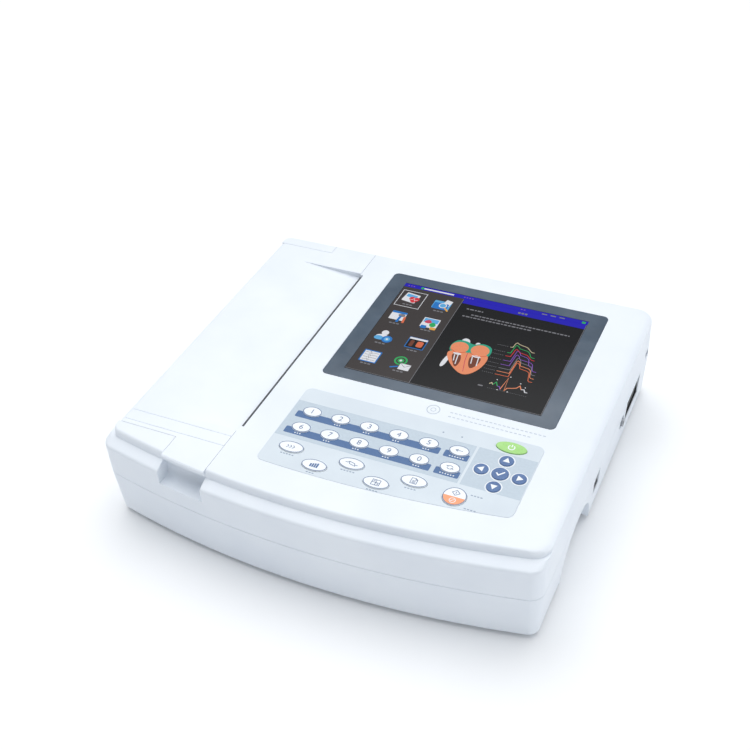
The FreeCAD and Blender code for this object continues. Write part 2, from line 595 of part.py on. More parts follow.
def lcd_frame():
    x0, x1, y0, y1 = ACTIVE
    tray = box(x0 - 9.5, x1 + 8.5, y0 - 8.5, y1 + 9.5, TOP - 9.5, TOP - WALL - 1.5)
    tray = tray.cut(box(x0 - 8, x1 + 7, y0 - 7, y1 + 8, TOP - 8.0, TOP))
    windows = [box(x0 + 12 + 52 * i, x0 + 46 + 52 * i, y0 + 20, y1 - 20, 60, TOP) for i in range(3)]
    return cut(tray, windows)


# ---------------------------------------------------------------- keypad
def keypad_overlay():
    sheet = keypad_plan(0.0, SHEET_TOP - 0.9, SHEET_TOP)
    holes = [oval(x, y, a + 0.25, b + 0.25, 70, 90) for _, x, y, a, b in KEYS]
    return cut(sheet, holes)


def keypad_board():
    board = keypad_plan(-2.5, TOP - 6.0, TOP - 4.6)
    domes = [rod("z", 2.6, x, y, TOP - 4.6, TOP - 4.2) for _, x, y, _, _ in KEYS]
    spacers = [box(x, x + 2.0, y, y + 12, TOP - 4.6, TOP - WALL)
               for x in (KEYPAD[0] - 2.2, KEYPAD[1] + 0.2) for y in (-55.0, -95.0)]
    return join([board] + domes + spacers)


def key_cap(key):
    """A raised cap with a wider foot that the sheet holds in."""
    _, x, y, a, b = key
    crown = oval(x, y, a, b, TOP - 3.3, KEY_TOP)
    crown = crown.makeFillet(0.35, edges_at(crown, KEY_TOP))
    foot = oval(x, y, a + 0.5, b + 0.5, TOP - 3.3, TOP - 2.0)
    return join([crown, foot])


# ---------------------------------------------------------------- inside the base
def main_board():
    board = box(-42, 151, -112, 28, 34.0, 35.6)
    parts = [
        box(40, 68, -40, -12, 35.6, 38.0),
        box(0, 22, -60, -40, 35.6, 37.6),
        box(84, 96, -30, -12, 35.6, 38.4),
        box(-36, -8, -96, -90, 35.6, 43.0),
        box(100, 148, -96, -60, 35.6, 42.0),
    ]
    parts += [rod("z", 4.0, -32 + 11 * i, -20, 35.6, 46.0) for i in range(4)]
    return join([board] + parts)


def power_supply():
    board = box(-52, 60, 44, 122, 14.0, 15.6)
    cage = box(-50, 58, 46, 120, 15.6, 44.0)
    cage = cage.cut(box(-48.8, 56.8, 47.2, 118.8, 15.6, 42.8))
    vents = [box(-40 + 12 * i, -34 + 12 * i, 60, 106, 40, 46) for i in range(8)]
    return join([board, cut(cage, vents)])


def battery_pack():
    x0, x1, y0, y1 = BATTERY
    pack = box(x0 + 0.5, x1 - 0.5, y0 + 0.5, y1 - 0.5, FOOT_HEIGHT + 2.2, 29.5)
    return pack.makeFillet(3.0, upright_edges(pack))


def battery_door():
    x0, x1, y0, y1 = BATTERY
    plate = slab(x0 - 3.7, x1 + 3.7, y0 - 3.7, y1 + 3.7, FOOT_HEIGHT, FOOT_HEIGHT + 2.0, 2.0)
    grip = box((x0 + x1) / 2 - 12, (x0 + x1) / 2 + 12, y1 - 6, y1 - 2, FOOT_HEIGHT - 1,
               FOOT_HEIGHT + 0.8)
    return plate.cut(grip)


def feet():
    pads = []
    for x, y in FEET_SPOTS:
        pad = rod("z", 8.0, x, y, 0, FOOT_HEIGHT)
        pads.append(pad.makeFillet(0.8, edges_at(pad, 0)))
    return Part.makeCompound(pads)


def case_screws():
    screws = []
    for x, y in SCREW_SPOTS:
        head = rod("z", 3.4, x, y, FOOT_HEIGHT - 0.6, FOOT_HEIGHT + 1.5)
        shank = rod("z", 1.6, x, y, FOOT_HEIGHT + 1, SEAM + 14)
        cross = [box(x - 2, x + 2, y - 0.4, y + 0.4, 0, FOOT_HEIGHT + 0.4),
                 box(x - 0.4, x + 0.4, y - 2, y + 2, 0, FOOT_HEIGHT + 0.4)]
        screws.append(cut(join([head, shank]), cross))
    return Part.makeCompound(screws)


# ---------------------------------------------------------------- sockets
def patient_connector():
    """Fifteen-way D-shaped socket for the patient cable, set in a dark recess."""
    y, z = PATIENT_Y, SIDE_Z
    face = WALL_RIGHT - 4.0
    cup = box(face - 1.5, WALL_RIGHT - 1.2, y - 19.9, y + 19.9, z - 10.4, z + 10.4)
    cup = cup.cut(box(face, 175, y - 18.4, y + 18.4, z - 8.9, z + 8.9))
    shell = box(face - 10, face + 2.6, y - 12.8, y + 12.8, z - 4.3, z + 4.3)
    contacts = [rod("x", 0.6, y - 9.6 + 2.74 * i, z + 1.4, face - 4, 175) for i in range(8)]
    contacts += [rod("x", 0.6, y - 8.2 + 2.74 * i, z - 1.4, face - 4, 175) for i in range(7)]
    posts = []
    for side in (-1, 1):
        post = rod("x", 2.5, y + side * 16.0, z, face, face + 2.6)
        posts.append(post.cut(rod("x", 1.4, y + side * 16.0, z, face + 0.5, 175)))
    return cut(join([cup, shell] + posts), contacts)


def aux_jack():
    """Small threaded post beside the patient socket."""
    face = WALL_RIGHT - 1.5
    flange = rod("x", 5.9, AUX_Y, SIDE_Z, face - 3, face)
    post = rod("x", 3.4, AUX_Y, SIDE_Z, face - 8, face + 3.0)
    bore = rod("x", 1.6, AUX_Y, SIDE_Z, face - 4, face + 5)
    return join([flange, post]).cut(bore)


def usb_port():
    """Two flat sockets, one above the other."""
    y, z = USB_Y, SIDE_Z
    face = WALL_RIGHT - 1.0
    shell = box(face - 16, face, y - 7.2, y + 7.2, z - 7.9, z + 7.9)
    cavities = [box(face - 9, 175, y - 6.2, y + 6.2, z + dz - 2.6, z + dz + 2.6) for dz in (-3.9, 3.9)]
    shell = cut(shell, cavities)
    tongues = [box(face - 10, face - 5, y - 5.6, y + 5.6, z + dz - 0.2, z + dz + 1.6)
               for dz in (-3.9, 3.9)]
    return join([shell] + tongues)


def lan_port():
    x, z = LAN_X, REAR_Z
    face = REAR_PANEL - 1.0
    shell = box(x - 8.1, x + 8.1, face - 16, face, z - 6.8, z + 6.8)
    return cut(shell, [box(x - 5.9, x + 5.9, face - 11, 175, z - 3.6, z + 4.6),
                       box(x - 3.2, x + 3.2, face - 11, 175, z - 5.8, z + 4.6)])


def mains_inlet():
    """Appliance inlet with the housing of the power switch beside it."""
    x, z = INLET_X, REAR_Z
    face = REAR_PANEL
    flange = box(x - 16, ROCKER_X + 13, face, face + 1.6, z - 12.5, z + 12.5)
    socket = box(x - 13.8, x + 13.8, face - 16, face + 1, z - 10.3, z + 10.3)
    switch = box(ROCKER_X - 9.8, ROCKER_X + 9.8, face - 14, face + 1, z - 7.3, z + 7.3)
    block = join([flange, socket, switch])
    block = cut(block, [box(x - 12, x + 12, face - 13, face + 5, z - 8, z + 8),
                        box(ROCKER_X - 8.2, ROCKER_X + 8.2, face - 12.5, face + 5, z - 6.6, z + 6.6)])
    blades = [box(x + dx - 1, x + dx + 1, face - 14, face - 4, z + dz - 2, z + dz + 2)
              for dx, dz in ((-7, -1.5), (7, -1.5), (0, 2.5))]
    return join([block] + blades)


ROCKER_TILT = 8.0           # degrees each way from upright
ROCKER_Y = REAR_PANEL - 5.0


def power_rocker():
    """Rocker key that tips about X; at rest its lower half is pressed in."""
    x, z = ROCKER_X, REAR_Z
    face = REAR_PANEL + 1.6
    profile = [(ROCKER_Y - 3.0, z - 3.2), (face + 1.4, z - 5.0), (face + 0.4, z),
               (face + 1.4, z + 5.0), (ROCKER_Y - 3.0, z + 3.2)]
    wire = Part.makePolygon([V(x - 7.9, y, h) for y, h in profile + profile[:1]])
    key = Part.Face(wire).extrude(V(15.8, 0, 0))
    key.rotate(V(x, ROCKER_Y, z), V(1, 0, 0), -ROCKER_TILT)
    return key


def equipotential_stud():
    face = REAR_PANEL
    plate = rod("y", 6.5, STUD_X, REAR_Z, face, face + 1.0)
    stud = rod("y", 3.0, STUD_X, REAR_Z, face - 8, face + 9)
    neck = rod("y", 1.9, STUD_X, REAR_Z, face + 1.0, face + 3.5)
    ring = rod("y", 3.1, STUD_X, REAR_Z, face + 1.0, face + 3.5).cut(neck)
    return join([plate, stud]).cut(ring)


# ---------------------------------------------------------------- write every piece
PIECES = {
    "base_case": base_case,
    "top_case": top_case,
    "lid_panel": lid_panel,
    "lid_end_front": lambda: lid_end(True),
    "lid_end_rear": lambda: lid_end(False),
    "lid_hinge_pins": lid_hinge_pins,
    "platen_roller": platen_roller,
    "platen_shaft": platen_shaft,
    "platen_gear": platen_gear,
    "idler_gear": idler_gear,
    "motor_pinion": motor_pinion,
    "stepper_motor": stepper_motor,
    "printer_frame": printer_frame,
    "print_head": print_head,
    "head_bracket": head_bracket,
    "head_springs": head_springs,
    "paper_roll": paper_roll,
    "paper_core": paper_core,
    "display_window": display_window,
    "lcd_panel": lcd_panel,
    "lcd_frame": lcd_frame,
    "keypad_overlay": keypad_overlay,
    "keypad_board": keypad_board,
    "main_board": main_board,
    "power_supply": power_supply,
    "battery_pack": battery_pack,
    "battery_door": battery_door,
    "feet": feet,
    "case_screws": case_screws,
    "patient_connector": patient_connector,
    "aux_jack": aux_jack,
    "usb_port": usb_port,
    "lan_port": lan_port,
    "mains_inlet": mains_inlet,
    "power_rocker": power_rocker,
    "equipotential_stud": equipotential_stud,
}

os.makedirs("parts", exist_ok=True)
for name, make in PIECES.items():
    make().exportStep("parts/" + name + ".step")
for key in KEYS:
    key_cap(key).exportStep("parts/key_" + key[0] + ".step")
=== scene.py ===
# %% [markdown]
# # A desktop electrocardiograph, from bare frame to finished machine
#
# The machine is a low white box with a bowed front. A printer lid fills the left side, a display
# window and a keypad fill the rest. The working model already holds every solid and every joint, so
# this lesson never moves those solids: it dresses them in real finishes, prints the keypad, and
# draws the picture that the display shows.

# %% Load the working model
import json
from math import cos, radians, sin

import bmesh
import bpy
from mathutils import Matrix, Vector


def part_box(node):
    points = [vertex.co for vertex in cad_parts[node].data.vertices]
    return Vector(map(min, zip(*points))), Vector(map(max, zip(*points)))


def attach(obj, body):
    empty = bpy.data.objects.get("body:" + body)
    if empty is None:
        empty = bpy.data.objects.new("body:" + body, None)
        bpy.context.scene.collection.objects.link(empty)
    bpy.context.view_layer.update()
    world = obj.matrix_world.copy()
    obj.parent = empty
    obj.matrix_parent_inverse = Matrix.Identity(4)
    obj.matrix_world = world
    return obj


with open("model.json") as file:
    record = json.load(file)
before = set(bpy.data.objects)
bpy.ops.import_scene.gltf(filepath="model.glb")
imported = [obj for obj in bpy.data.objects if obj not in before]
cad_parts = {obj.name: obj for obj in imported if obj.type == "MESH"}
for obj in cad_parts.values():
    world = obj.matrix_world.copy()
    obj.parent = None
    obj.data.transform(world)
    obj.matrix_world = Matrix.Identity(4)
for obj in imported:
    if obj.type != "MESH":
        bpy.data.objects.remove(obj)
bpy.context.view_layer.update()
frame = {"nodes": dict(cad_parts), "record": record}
MM = 0.001

# %% [markdown]
# ## Camera
#
# A camera can be placed by typing coordinates until the picture looks right. It is easier to think
# like a photographer: choose the point to look at, walk round it by an angle, rise above it by
# another, and tilt the head a little. A long lens from just under a metre keeps the edges nearly
# parallel. A tiny sideways shift of the lens centres the machine without turning the camera.

# %% Camera
VIEW_AZIMUTH, VIEW_ELEVATION, VIEW_ROLL = radians(27.16), radians(39.33), radians(-4.12)
CAMERA_PLACE = Vector((302.6, -600.8, 633.8)) * MM
LENS_MM = 54.14
LENS_SHIFT = -0.0032        # sideways, as a part of the frame's width

backward = Vector((sin(VIEW_AZIMUTH) * cos(VIEW_ELEVATION),
                   -cos(VIEW_AZIMUTH) * cos(VIEW_ELEVATION), sin(VIEW_ELEVATION)))
level_right = Vector((cos(VIEW_AZIMUTH), sin(VIEW_AZIMUTH), 0))
level_up = backward.cross(level_right)
right = level_right * cos(VIEW_ROLL) + level_up * sin(VIEW_ROLL)
up = backward.cross(right)

camera_data = bpy.data.cameras.new("camera")
camera_data.lens = LENS_MM
camera_data.clip_start = 0.01
camera_data.shift_x = LENS_SHIFT
camera = bpy.data.objects.new("camera", camera_data)
camera.matrix_world = Matrix.Translation(CAMERA_PLACE) @ Matrix((right, up, backward)).transposed().to_4x4()
bpy.context.scene.collection.objects.link(camera)
bpy.context.scene.camera = camera
print("camera is", round(CAMERA_PLACE.length, 3), "m from the middle of the footprint")

# %% [markdown]
# ## Floor and light
#
# The machine stands on white studio paper that has to stay pure white to the edge of the picture. A
# lamp close by would fade across the paper, so the key light is a sun with a very wide disc: it
# lights every spot alike and still gives soft shadows. It stands high and behind, so the deck is
# bright and the front wall falls into a light grey. A weak second sun from the right keeps the side
# wall from going dark, and a pale world fills the shadows.

# %% Studio
FLOOR_SIZE = 14.0


def wide_sun(name, azimuth, elevation, disc, strength):
    """A sun in degrees: azimuth from the back towards the right, elevation, width of its disc."""
    data = bpy.data.lights.new(name, "SUN")
    data.angle = radians(disc)
    data.energy = strength
    sun = bpy.data.objects.new(name, data)
    turn, rise = radians(azimuth), radians(elevation)
    toward_sun = Vector((sin(turn) * cos(rise), cos(turn) * cos(rise), sin(rise)))
    sun.rotation_euler = toward_sun.to_track_quat("Z", "Y").to_euler()
    bpy.context.scene.collection.objects.link(sun)


wide_sun("key_light", azimuth=-24, elevation=72, disc=65, strength=1.9)
wide_sun("side_fill", azimuth=88, elevation=24, disc=60, strength=0.42)

world = bpy.data.worlds.new("studio")
world.use_nodes = True
world.node_tree.nodes["Background"].inputs["Color"].default_value = (0.90, 0.95, 1.0, 1)
world.node_tree.nodes["Background"].inputs["Strength"].default_value = 0.47
bpy.context.scene.world = world
bpy.context.scene.view_settings.view_transform = "Standard"
print("two wide suns and a pale world")

# %% [markdown]
# ## How a finish is built
#
# Nothing made of plastic is one flat colour. A mould leaves a fine grain, the gloss drifts a little
# from place to place, and the tint is never quite even. Each finish below therefore starts from
# the same three noises, measured in real millimetres on Object coordinates: one for tint, one for
# gloss, one for grain. Image textures could do the same, but noise needs no file and no seams.

# %% Helpers for finishes
def tone(red, green, blue):
    """A colour given on a 0-255 scale, as the linear light that shaders need."""
    linear = []
    for value in (red, green, blue):
        value /= 255
        linear.append(value / 12.92 if value < 0.04045 else ((value + 0.055) / 1.055) ** 2.4)
    return (*linear, 1.0)


def noise(tree, feature_mm, detail=3.0, stretch=(1, 1, 1)):
    """A noise whose blobs are about feature_mm across, on the piece's own coordinates."""
    place = tree.nodes.new("ShaderNodeTexCoord")
    mapping = tree.nodes.new("ShaderNodeMapping")
    mapping.inputs["Scale"].default_value = [1 / (feature_mm * MM * s) for s in stretch]
    texture = tree.nodes.new("ShaderNodeTexNoise")
    texture.inputs["Scale"].default_value = 1.0
    texture.inputs["Detail"].default_value = detail
    tree.links.new(place.outputs["Object"], mapping.inputs["Vector"])
    tree.links.new(mapping.outputs["Vector"], texture.inputs["Vector"])
    return texture.outputs["Fac"]


def finish(name, dark, light, rough, tint_mm=25.0, grain_mm=0.5, grain=0.05, metallic=0.0,
           coat=0.0, stretch=(1, 1, 1)):
    """A finish with a drifting tint between dark and light, drifting gloss, and a fine grain."""
    material = bpy.data.materials.new(name)
    material.use_nodes = True
    tree = material.node_tree
    shader = tree.nodes["Principled BSDF"]
    shader.inputs["Metallic"].default_value = metallic
    shader.inputs["Coat Weight"].default_value = coat
    shader.inputs["Coat Roughness"].default_value = 0.08

    ramp = tree.nodes.new("ShaderNodeValToRGB")
    ramp.color_ramp.elements[0].position, ramp.color_ramp.elements[1].position = 0.3, 0.7
    ramp.color_ramp.elements[0].color, ramp.color_ramp.elements[1].color = tone(*dark), tone(*light)
    tree.links.new(noise(tree, tint_mm, stretch=stretch), ramp.inputs["Fac"])
    tree.links.new(ramp.outputs["Color"], shader.inputs["Base Color"])

    gloss = tree.nodes.new("ShaderNodeMapRange")
    gloss.inputs["From Min"].default_value, gloss.inputs["From Max"].default_value = 0.3, 0.7
    gloss.inputs["To Min"].default_value, gloss.inputs["To Max"].default_value = rough
    tree.links.new(noise(tree, tint_mm * 0.4, stretch=stretch), gloss.inputs["Value"])
    tree.links.new(gloss.outputs["Result"], shader.inputs["Roughness"])

    bump = tree.nodes.new("ShaderNodeBump")
    bump.inputs["Strength"].default_value = grain
    bump.inputs["Distance"].default_value = grain_mm * MM * 0.2
    tree.links.new(noise(tree, grain_mm, 2.0, stretch), bump.inputs["Height"])
    tree.links.new(bump.outputs["Normal"], shader.inputs["Normal"])
    return material


# %% [markdown]
# ## The finishes of this machine
#
# Case and lid share one white, slightly cool plastic with a satin mould texture. The window border
# is slate-coloured and glossy. Inside are the usual metals: brushed pins, a milled heat sink, turned
# brass. Brushed metal is only noise pulled out long in one direction.

# %% Finishes by name
ALONG_Y = (1, 30, 1)
ALONG_X = (30, 1, 1)
FINISHES = {
    "case_white": finish("case_white", (233, 239, 247), (240, 245, 251), (0.34, 0.44), 60, 0.45, 0.10),
    "lid_white": finish("lid_white", (234, 240, 248), (241, 246, 252), (0.33, 0.43), 55, 0.45, 0.10),
    "steel": finish("steel", (150, 152, 156), (196, 198, 202), (0.22, 0.36), 1.2, 0.3, 0.1, 1.0,
                    stretch=ALONG_Y),
    "platen_rubber": finish("platen_rubber", (26, 26, 28), (40, 40, 43), (0.7, 0.85), 8, 0.3, 0.35),
    "gear_plastic": finish("gear_plastic", (226, 222, 206), (238, 235, 222), (0.35, 0.5), 6, 0.3, 0.1),
    "brass": finish("brass", (172, 132, 62), (205, 168, 92), (0.2, 0.34), 2, 0.2, 0.1, 1.0),
    "motor_steel": finish("motor_steel", (38, 39, 42), (60, 61, 65), (0.35, 0.5), 5, 0.3, 0.15, 0.7),
    "frame_grey": finish("frame_grey", (60, 63, 68), (76, 80, 86), (0.45, 0.6), 20, 0.5, 0.25),
    "head_ceramic": finish("head_ceramic", (188, 172, 130), (206, 192, 154), (0.15, 0.25), 5, 0.2,
                           0.05, 0.0, 0.6),
    "heat_sink": finish("heat_sink", (168, 171, 176), (198, 201, 205), (0.3, 0.45), 1.5, 0.3, 0.12,
                        1.0, stretch=ALONG_Y),
    "paper": finish("paper", (244, 241, 234), (252, 250, 246), (0.75, 0.9), 4, 0.25, 0.3),
    "core_plastic": finish("core_plastic", (64, 66, 70), (84, 86, 92), (0.4, 0.55), 8, 0.4, 0.15),
    "window_slate": finish("window_slate", (66, 80, 95), (78, 93, 109), (0.10, 0.20), 30, 0.35,
                           0.03),
    "lcd_black": finish("lcd_black", (14, 14, 16), (22, 22, 25), (0.1, 0.2), 20, 0.4, 0.03),
    "sheet_metal": finish("sheet_metal", (176, 179, 183), (206, 208, 211), (0.25, 0.4), 1.5, 0.3, 0.1,
                          1.0, stretch=ALONG_X),
    "keypad_sheet": finish("keypad_sheet", (213, 222, 230), (220, 229, 236), (0.4, 0.5), 30, 0.3, 0.12),
    "circuit_board": finish("circuit_board", (14, 78, 44), (22, 104, 60), (0.25, 0.4), 1.8, 0.6, 0.3),
    "battery_blue": finish("battery_blue", (30, 48, 104), (42, 64, 128), (0.25, 0.4), 12, 0.5, 0.1),
    "foot_rubber": finish("foot_rubber", (40, 40, 43), (56, 56, 60), (0.75, 0.9), 6, 0.3, 0.3),
    "socket_black": finish("socket_black", (22, 24, 27), (34, 37, 41), (0.45, 0.6), 6, 0.35, 0.2),
    "rocker_black": finish("rocker_black", (14, 14, 16), (24, 24, 27), (0.15, 0.25), 6, 0.3, 0.05),
    "key_white": finish("key_white", (240, 245, 250), (247, 250, 253), (0.25, 0.35), 6, 0.25, 0.06),
    "key_green": finish("key_green", (158, 214, 116), (172, 224, 134), (0.25, 0.35), 6, 0.25, 0.06),
    "key_blue": finish("key_blue", (68, 101, 152), (80, 114, 164), (0.25, 0.35), 6, 0.25, 0.06),
    "key_two_tone": finish("key_two_tone", (240, 245, 250), (247, 250, 253), (0.25, 0.35), 6, 0.25,
                           0.06),
}
print(len(FINISHES), "finishes")

# %% [markdown]
# ## Smooth faces and crisp edges on the solids
#
# A solid from the working model is a cloud of separate flat triangles, so a rounded wall would show
# its facets. Merging points that coincide and then shading smooth repairs that, but it also smears
# light over real edges. So edges sharper than a set angle are kept hard, and normals are weighted by
# face area, which keeps big flat faces flat. A small node group does this for every solid.

# %% Smoothing for the solids
def smoothing_group(angle_degrees):
    group = bpy.data.node_groups.new("smooth_but_crisp", "GeometryNodeTree")
    group.interface.new_socket("Geometry", in_out="INPUT", socket_type="NodeSocketGeometry")
    group.interface.new_socket("Geometry", in_out="OUTPUT", socket_type="NodeSocketGeometry")
    start = group.nodes.new("NodeGroupInput")
    end = group.nodes.new("NodeGroupOutput")
    merge = group.nodes.new("GeometryNodeMergeByDistance")
    merge.inputs["Distance"].default_value = 0.005 * MM
    faces = group.nodes.new("GeometryNodeSetShadeSmooth")
    edges = group.nodes.new("GeometryNodeSetShadeSmooth")
    edges.domain = "EDGE"
    edges.inputs["Shade Smooth"].default_value = False
    angle = group.nodes.new("GeometryNodeInputMeshEdgeAngle")
    sharper = group.nodes.new("FunctionNodeCompare")
    sharper.inputs["B"].default_value = radians(angle_degrees)
    group.links.new(start.outputs[0], merge.inputs["Geometry"])
    group.links.new(merge.outputs["Geometry"], faces.inputs["Geometry"])
    group.links.new(faces.outputs["Geometry"], edges.inputs["Geometry"])
    group.links.new(angle.outputs["Unsigned Angle"], sharper.inputs["A"])
    group.links.new(sharper.outputs["Result"], edges.inputs["Selection"])
    group.links.new(edges.outputs["Geometry"], end.inputs[0])
    return group


SMOOTHING = smoothing_group(32)


def dress(node_name, slot_name):
    """Gives a solid its finish and its clean shading. Its shape and place stay untouched."""
    solid = frame["nodes"][node_name]
    while len(solid.data.materials) < 1:
        solid.data.materials.append(None)
    for place in solid.material_slots:
        place.material = FINISHES[slot_name]
    smooth = solid.modifiers.new("smooth", "NODES")
    smooth.node_group = SMOOTHING
    weighted = solid.modifiers.new("weighted", "WEIGHTED_NORMAL")
    weighted.keep_sharp = True
    weighted.weight = 100


for part in frame["record"]["subparts"]:
    dress(part["node"], part["material_slot"])

# %% [markdown]
# ## Printing
#
# Keypad marks are screen-printed ink, a few hundredths of a millimetre thick. They could be painted
# into a texture, but thin real shapes stay crisp at any distance and travel with their key when it
# is pressed. Every mark starts as a flat bmesh shape; at the end the whole print is given the
# thickness of the ink.

# %% Flat shapes
INK = 0.03 * MM


def add_bar(bm, x0, x1, y0, y1, radius=0.0, turn=0.0):
    """A rectangle with rounded corners, turned about its own middle."""
    made = bmesh.ops.create_grid(bm, x_segments=1, y_segments=1, size=0.5)["verts"]
    bmesh.ops.scale(bm, vec=(x1 - x0, y1 - y0, 1), verts=made)
    bmesh.ops.rotate(bm, cent=(0, 0, 0), matrix=Matrix.Rotation(turn, 3, "Z"), verts=made)
    bmesh.ops.translate(bm, vec=((x0 + x1) / 2, (y0 + y1) / 2, 0), verts=made)
    if radius > 0:
        bmesh.ops.bevel(bm, geom=made, offset=radius, offset_type="OFFSET", affect="VERTICES",
                        segments=6, profile=0.5, material=-1, clamp_overlap=True)


def add_oval(bm, x, y, a, b, sides=48):
    made = bmesh.ops.create_circle(bm, cap_ends=True, segments=sides, radius=1.0)["verts"]
    bmesh.ops.scale(bm, vec=(a, b, 1), verts=made)
    bmesh.ops.translate(bm, vec=(x, y, 0), verts=made)
    return made


def add_ring(bm, x, y, a, b, width, sides=64):
    """An oval whose middle is inset and taken out, which leaves an even line."""
    made = add_oval(bm, x, y, a, b, sides)
    face = made[0].link_faces[0]
    bmesh.ops.inset_region(bm, faces=[face], thickness=width, use_boundary=True,
                           use_even_offset=True)
    bmesh.ops.delete(bm, geom=[face], context="FACES")


def add_stroke(bm, path, width, closed=False):
    """A pen stroke: a short edge is pulled from point to point, mitred at each corner."""
    points = [Vector((x, y, 0)) for x, y in path]
    if closed:
        points.append(points[0])
    count = len(points)
    nib = None
    for i, point in enumerate(points):
        before = points[i - 1] if i > 0 else (points[-2] if closed else None)
        after = points[i + 1] if i < count - 1 else (points[1] if closed else None)
        arriving = (point - before).normalized() if before is not None else None
        leaving = (after - point).normalized() if after is not None else None
        along = ((arriving or leaving) + (leaving or arriving)).normalized()
        mitre = min(1.0 / max(along.dot(leaving or arriving), 0.3), 2.2)
        across = Vector((-along.y, along.x, 0)) * (width / 2 * mitre)
        if nib is None:
            nib = [bm.verts.new(point + across), bm.verts.new(point - across)]
            bm.edges.new(nib)
            continue
        edge = bm.edges.get(nib)
        pulled = bmesh.ops.extrude_edge_only(bm, edges=[edge])["geom"]
        ends = [item for item in pulled if isinstance(item, bmesh.types.BMVert)]
        ends.sort(key=lambda end: (end.co - nib[0].co).length)
        ends[0].co, ends[1].co = point + across, point - across
        nib = ends


def add_mesh(bm, curve, matrix):
    """Turns a flat curve or a text into faces and adds them at their place."""
    holder = bpy.data.objects.new("holder", curve)
    mesh = bpy.data.meshes.new_from_object(holder)
    mesh.transform(matrix)
    bm.from_mesh(mesh)
    bpy.data.objects.remove(holder)
    bpy.data.meshes.remove(mesh)


FONT_SIZE_TO_DIGIT = 1.38   # size that makes a digit of the built-in font one unit high


def add_digit(bm, text, x, y, height):
    curve = bpy.data.curves.new("digit", "FONT")
    curve.body = text
    curve.size = height * FONT_SIZE_TO_DIGIT
    curve.align_x, curve.align_y = "CENTER", "CENTER"
    curve.resolution_u = 5
    add_mesh(bm, curve, Matrix.Translation((x, y, 0)))


def add_blob(bm, points):
    """A filled outline whose corners are pulled smooth."""
    curve = bpy.data.curves.new("blob", "CURVE")
    curve.dimensions = "2D"
    curve.fill_mode = "BOTH"
    spline = curve.splines.new("NURBS")
    spline.points.add(len(points) - 1)
    for point, (x, y) in zip(spline.points, points):
        point.co = (x, y, 0, 1)
    spline.use_cyclic_u = True
    spline.order_u = 3
    spline.resolution_u = 8
    add_mesh(bm, curve, Matrix.Identity(4))


print("shapes: bar, oval, ring, stroke, digit, blob; ink", round(INK / MM, 3), "mm thick")


# %% [markdown]
# One function turns a finished drawing into a piece: it lifts the drawing to its height, makes every
# face look up, gives the ink its thickness, and lets the piece ride on the body it is printed on.

# %% From drawing to piece
def print_piece(name, bm, height, material, body):
    bmesh.ops.remove_doubles(bm, verts=bm.verts, dist=0.002 * MM)
    bmesh.ops.translate(bm, vec=(0, 0, height + INK), verts=bm.verts)
    bm.normal_update()
    downward = [face for face in bm.faces if face.normal.z < 0]
    bmesh.ops.reverse_faces(bm, faces=downward)
    bm.normal_update()
    bmesh.ops.solidify(bm, geom=bm.faces[:], thickness=INK)
    bmesh.ops.recalc_face_normals(bm, faces=bm.faces)
    mesh = bpy.data.meshes.new(name)
    bm.to_mesh(mesh)
    bm.free()
    mesh.materials.append(material)
    piece = bpy.data.objects.new(name, mesh)
    bpy.context.scene.collection.objects.link(piece)
    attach(piece, body)
    return piece


def ink(name, red, green, blue):
    """Printed ink: nearly even, a little matt, with the faint mottle of a silk screen."""
    darker = [max(value - 6, 0) for value in (red, green, blue)]
    return finish(name, darker, (red, green, blue), (0.35, 0.48), 2.0, 0.2, 0.05)


INK_ZONE = ink("ink_zone", 196, 209, 220)
INK_BLUE = ink("ink_blue", 74, 110, 158)
INK_LINE = ink("ink_line", 98, 118, 155)
INK_WHITE = ink("ink_white", 246, 249, 252)
INK_GREY = ink("ink_grey", 150, 165, 185)
INK_PALE = ink("ink_pale", 196, 205, 214)
INK_ORANGE = ink("ink_orange", 250, 168, 122)
print("7 inks")

# %% [markdown]
# ## Keypad sheet
#
# The sheet has a darker field behind the number block and another behind the arrows, with a light
# gap between them. Blue bars run under both rows of numbers. All of it is measured from the keys
# themselves, so a change in the working model would carry the print along.

# %% Where the keys are
KEY_FOOT = 0.5 * MM         # the hidden foot of a cap is this much wider than its top


def key_spot(name):
    """Centre and half sizes of a cap's visible top."""
    low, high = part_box("key_" + name)
    middle = (low + high) / 2
    half = (high - low) / 2
    return middle.x, middle.y, half.x - KEY_FOOT, half.y - KEY_FOOT


sheet_low, sheet_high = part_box("keypad_overlay")
SHEET_TOP = sheet_high.z
CAP_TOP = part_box("key_1")[1].z
row_one, row_two = key_spot("1")[1], key_spot("6")[1]
print("keypad", [round(v / MM, 1) for v in sheet_high - sheet_low])

# %% Darker fields
zones = bmesh.new()
ZONE_REAR, ZONE_FRONT = row_one + 9.5 * MM, row_two - 12.1 * MM
ZONE_SPLIT = key_spot("left")[0] - 9.8 * MM
EDGE = 0.5 * MM
add_bar(zones, sheet_low.x + EDGE, ZONE_SPLIT - 0.9 * MM, ZONE_FRONT, ZONE_REAR)
add_bar(zones, ZONE_SPLIT + 0.9 * MM, sheet_high.x - EDGE, ZONE_FRONT, ZONE_REAR)
print_piece("keypad_fields", zones, SHEET_TOP, INK_ZONE, "case")
print("fields are", round((ZONE_REAR - ZONE_FRONT) / MM, 1), "mm deep")

